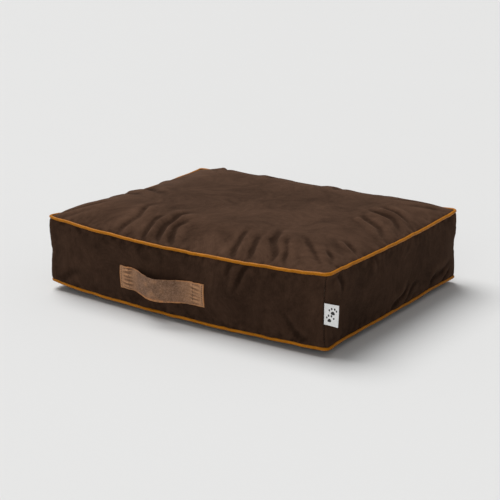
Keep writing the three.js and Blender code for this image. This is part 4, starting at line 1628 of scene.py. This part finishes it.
def pad_walls(inset, edge, us, vs, rows):
    """Points and faces of the pad's side, ring above ring."""
    runs = [(FRONT, us[:-1]), (RIGHT, vs[:-1]), (BACK, us[:-1]), (LEFT, vs[:-1])]
    places = [(side, s) for side, run in runs for s in run]
    points = []
    for v in np.linspace(0, 1, rows + 1):
        for side, s in places:
            low, high = seam_height(side, s, False) + edge, seam_height(side, s, True) - edge
            out = np.array(side.out) * float(swell(side, s, v))
            round_off = 0.004 * (2 * v - 1) ** 4
            plan = outline(side, s, inset + round_off) + out
            points.append((*plan, low + (high - low) * v))
    loop = len(places)
    faces = []
    for k in range(rows):
        for p in range(loop):
            a, b = k * loop + p, k * loop + (p + 1) % loop
            faces.append([a, b, b + loop, a + loop])
    return points, faces


def rim_place(i, j, nu, nv):
    """The number, in a ring of the pad's side, of a point on the rim of its top or bottom."""
    if j == 0 and i < nu:
        return i
    if i == nu and j < nv:
        return nu + j
    if j == nv and i > 0:
        return nu + nv + (nu - i)
    return 2 * nu + nv + (nv - j)


def pad_point(u, v, top, inset, edge, set_back):
    """A point of the pad's top or bottom, inside its rim."""
    ring = max(abs(u), abs(v), 1e-9)
    if abs(u) > abs(v):
        side = RIGHT if u > 0 else LEFT
        s = v / ring * side.along[1]
    else:
        side = BACK if v > 0 else FRONT
        s = u / ring * side.along[0]
    plan = outline(side, s, inset) * ring
    seam = seam_height(side, s, top) + (-edge if top else edge)
    middle = CROWN - set_back if top else set_back
    share = float(lift(u, v))
    return (*plan, seam * (1 - share) + middle * share)


def closed_form(inset, edge, set_back, cell, rows, lump):
    """Points and faces of the pad's closed shape, a drawn-in copy of the cover's own."""
    us, vs = stations(FRONT, cell), stations(RIGHT, cell)
    nu, nv = len(us) - 1, len(vs) - 1
    points, faces = pad_walls(inset, edge, us, vs, rows)
    rim = {True: rows * 2 * (nu + nv), False: 0}
    for top in (True, False):
        index = {}
        for i in range(nu + 1):
            for j in range(nv + 1):
                if i in (0, nu) or j in (0, nv):
                    index[i, j] = rim[top] + rim_place(i, j, nu, nv)
                    continue
                index[i, j] = len(points)
                points.append(pad_point(us[i], vs[j], top, inset, edge, set_back))
        for i in range(nu):
            for j in range(nv):
                quad = [index[i, j], index[i + 1, j], index[i + 1, j + 1], index[i, j + 1]]
                faces.append(quad if top else quad[::-1])
    points = np.array(points)
    centre = np.array([0, 0, MIDDLE])
    dents = np.abs(noise_at(points, 14.0, 3.0)) + 0.5 * np.abs(noise_at(points, 40.0, 5.0))
    points += unit(centre - points) * (lump * dents)[:, None]
    return points, faces


class BED_OT_pad(Operator):
    """Build the pad's cotton case and its filling"""

    bl_idname = "bed.pad"
    bl_label = "Pad"

    def execute(self, context):
        pad = context.scene.bed_pad
        points, faces = closed_form(0.0105, 0.0095, 0.0075, pad.cell, 10, 0.0015)
        case = make_object("pad_case", points, faces, closed=True)
        dress(case, woven("Cotton", tuple(pad.cotton), 3600.0), COVER)
        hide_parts("pad_case_top", "pad_case_bottom")
        points, faces = closed_form(0.0165, 0.0135, 0.0125, pad.cell, 10, 0.006)
        filling = make_object("fibre_filling_loft", points, faces, closed=True)
        dress(filling, fibre_fill("Fibre", tuple(pad.fibre)), COVER)
        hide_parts("fibre_filling")
        self.case_seam()
        return {"FINISHED"}

    def case_seam(self):
        """The seam that closes the case round the middle of its side."""
        lines = []
        for side in SIDES:
            s = stations(side, 0.012)[:-1]
            out = np.array(side.out) * swell(side, s, 0.5)[:, None]
            lines.append(with_height(outline(side, s, 0.0100) + out, np.full(len(s), MIDDLE)))
        path = np.concatenate(lines)
        tangent = unit(np.roll(path, -1, axis=0) - np.roll(path, 1, axis=0))
        across = unit(np.cross(tangent, np.array([0.0, 0, 1])))
        up = np.broadcast_to(np.array([0.0, 0, -1.0]), path.shape)
        seam = sweep("pad_case_seam", path, across, up, circle(0.0008, 8), closed=True)
        pad = bpy.context.scene.bed_pad
        dress(seam, woven("Cotton", tuple(pad.cotton), 3600.0), COVER)


class BED_OT_stage(Operator):
    """Lay the floor and set the light and the camera"""

    bl_idname = "bed.stage"
    bl_label = "Stage"

    def execute(self, context):
        stage = context.scene.bed_stage
        self.floor(stage)
        self.lights()
        self.world()
        self.camera(context.scene, stage)
        context.scene.view_settings.view_transform = "Standard"
        return {"FINISHED"}

    def floor(self, stage):
        """A wide pale floor under the bed."""
        reach = 60.0
        steps = np.linspace(-1, 1, 9)
        x, y = np.meshgrid(steps, steps, indexing="ij")
        points = np.stack([x * reach, y * reach, x * 0], axis=-1)
        floor = make_object("studio_floor", points, grid_faces(9, 9))
        material, tree, shader, vector = new_material("Studio floor", **{"Roughness": 0.9})
        tone = noise_node(tree, vector, 0.7, 2.0, 0.5)
        pale = tuple(stage.floor)
        tree.links.new(mixed(tree, tone, tuple(0.99 * c for c in pale), pale), shader.inputs["Base Color"])
        floor.data.materials.append(material)

    def light(self, name, direction, spread, strength):
        """Even light from one direction, spread over a number of degrees."""
        lamp = bpy.data.lights.new(name, "SUN")
        lamp.energy, lamp.angle = strength, math.radians(spread)
        obj = bpy.data.objects.new(name, lamp)
        obj.rotation_euler = Vector(direction).to_track_quat("-Z", "Y").to_euler()
        bpy.context.scene.collection.objects.link(obj)

    def lights(self):
        """A broad soft sun from the upper left and a low weak fill from the front."""
        self.light("Soft sky light", (0.52, -0.10, -1.0), 42, 2.85)
        self.light("Front fill", (-0.33, 0.90, -0.20), 50, 0.60)

    def world(self):
        """Even light from all round; the camera sees the backdrop's own tone."""
        world = bpy.data.worlds.new("Studio")
        world.use_nodes = True
        tree = world.node_tree
        tree.nodes.clear()
        lit = add_node(tree, "Background", {"Color": (1, 1, 1, 1), "Strength": 0.29})
        seen = add_node(tree, "Background", {"Color": (0.775, 0.775, 0.77, 1), "Strength": 1.0})
        path = add_node(tree, "LightPath")
        mix = add_node(tree, "MixShader", {0: path.outputs["Is Camera Ray"]})
        tree.links.new(lit.outputs[0], mix.inputs[1])
        tree.links.new(seen.outputs[0], mix.inputs[2])
        output = add_node(tree, "OutputWorld")
        tree.links.new(mix.outputs[0], output.inputs["Surface"])
        bpy.context.scene.world = world

    def camera(self, scene, stage):
        """The camera, looking slightly down from the front right."""
        a, e = stage.azimuth, stage.elevation
        back = Vector((math.sin(a) * math.cos(e), -math.cos(a) * math.cos(e), math.sin(e)))
        low, high = Vector(CAD_BOX[0]), Vector(CAD_BOX[1])
        centre = (low + high) / 2
        aim = centre + Vector((-0.035236, 0.034122, -0.02392))
        data = bpy.data.cameras.new("Camera")
        data.lens = stage.lens
        data.sensor_width = 36.0
        data.clip_end = 200.0
        camera = bpy.data.objects.new("Camera", data)
        camera.location = aim + back * stage.distance
        camera.rotation_euler = (-back).to_track_quat("-Z", "Y").to_euler()
        scene.collection.objects.link(camera)
        scene.camera = camera


class BED_PT_panel(Panel):
    """The bed's pieces and their settings"""

    bl_idname = "BED_PT_panel"
    bl_label = "Cushion Bed"
    bl_space_type = "VIEW_3D"
    bl_region_type = "UI"
    bl_category = "Cushion Bed"

    def draw(self, context):
        for operator, group in BUILDERS.items():
            box = self.layout.box()
            box.operator(operator.bl_idname)
            given = getattr(context.scene, group)
            for name in given.bl_rna.properties.keys():
                if name not in ("rna_type", "name"):
                    box.prop(given, name)


BUILDERS = {
    BED_OT_stage: "bed_stage",
    BED_OT_cover: "bed_cover",
    BED_OT_piping: "bed_piping",
    BED_OT_strap: "bed_strap",
    BED_OT_label: "bed_label",
    BED_OT_zip: "bed_zip",
    BED_OT_pad: "bed_pad",
}
CLASSES = [*SETTINGS.values(), *BUILDERS, BED_PT_panel]


def register():
    """Adds the settings, the operators and the panel."""
    for cls in CLASSES:
        bpy.utils.register_class(cls)
    for name, group in SETTINGS.items():
        setattr(bpy.types.Scene, name, PointerProperty(type=group))


def unregister():
    """Takes them away again."""
    for name in SETTINGS:
        delattr(bpy.types.Scene, name)
    for cls in reversed(CLASSES):
        bpy.utils.unregister_class(cls)


def main():
    """Builds the whole bed."""
    register()
    bpy.ops.bed.stage()
    bpy.ops.bed.cover()
    bpy.ops.bed.piping()
    bpy.ops.bed.strap()
    bpy.ops.bed.label()
    bpy.ops.bed.zip()
    bpy.ops.bed.pad()


if __name__ == "__main__":
    main()
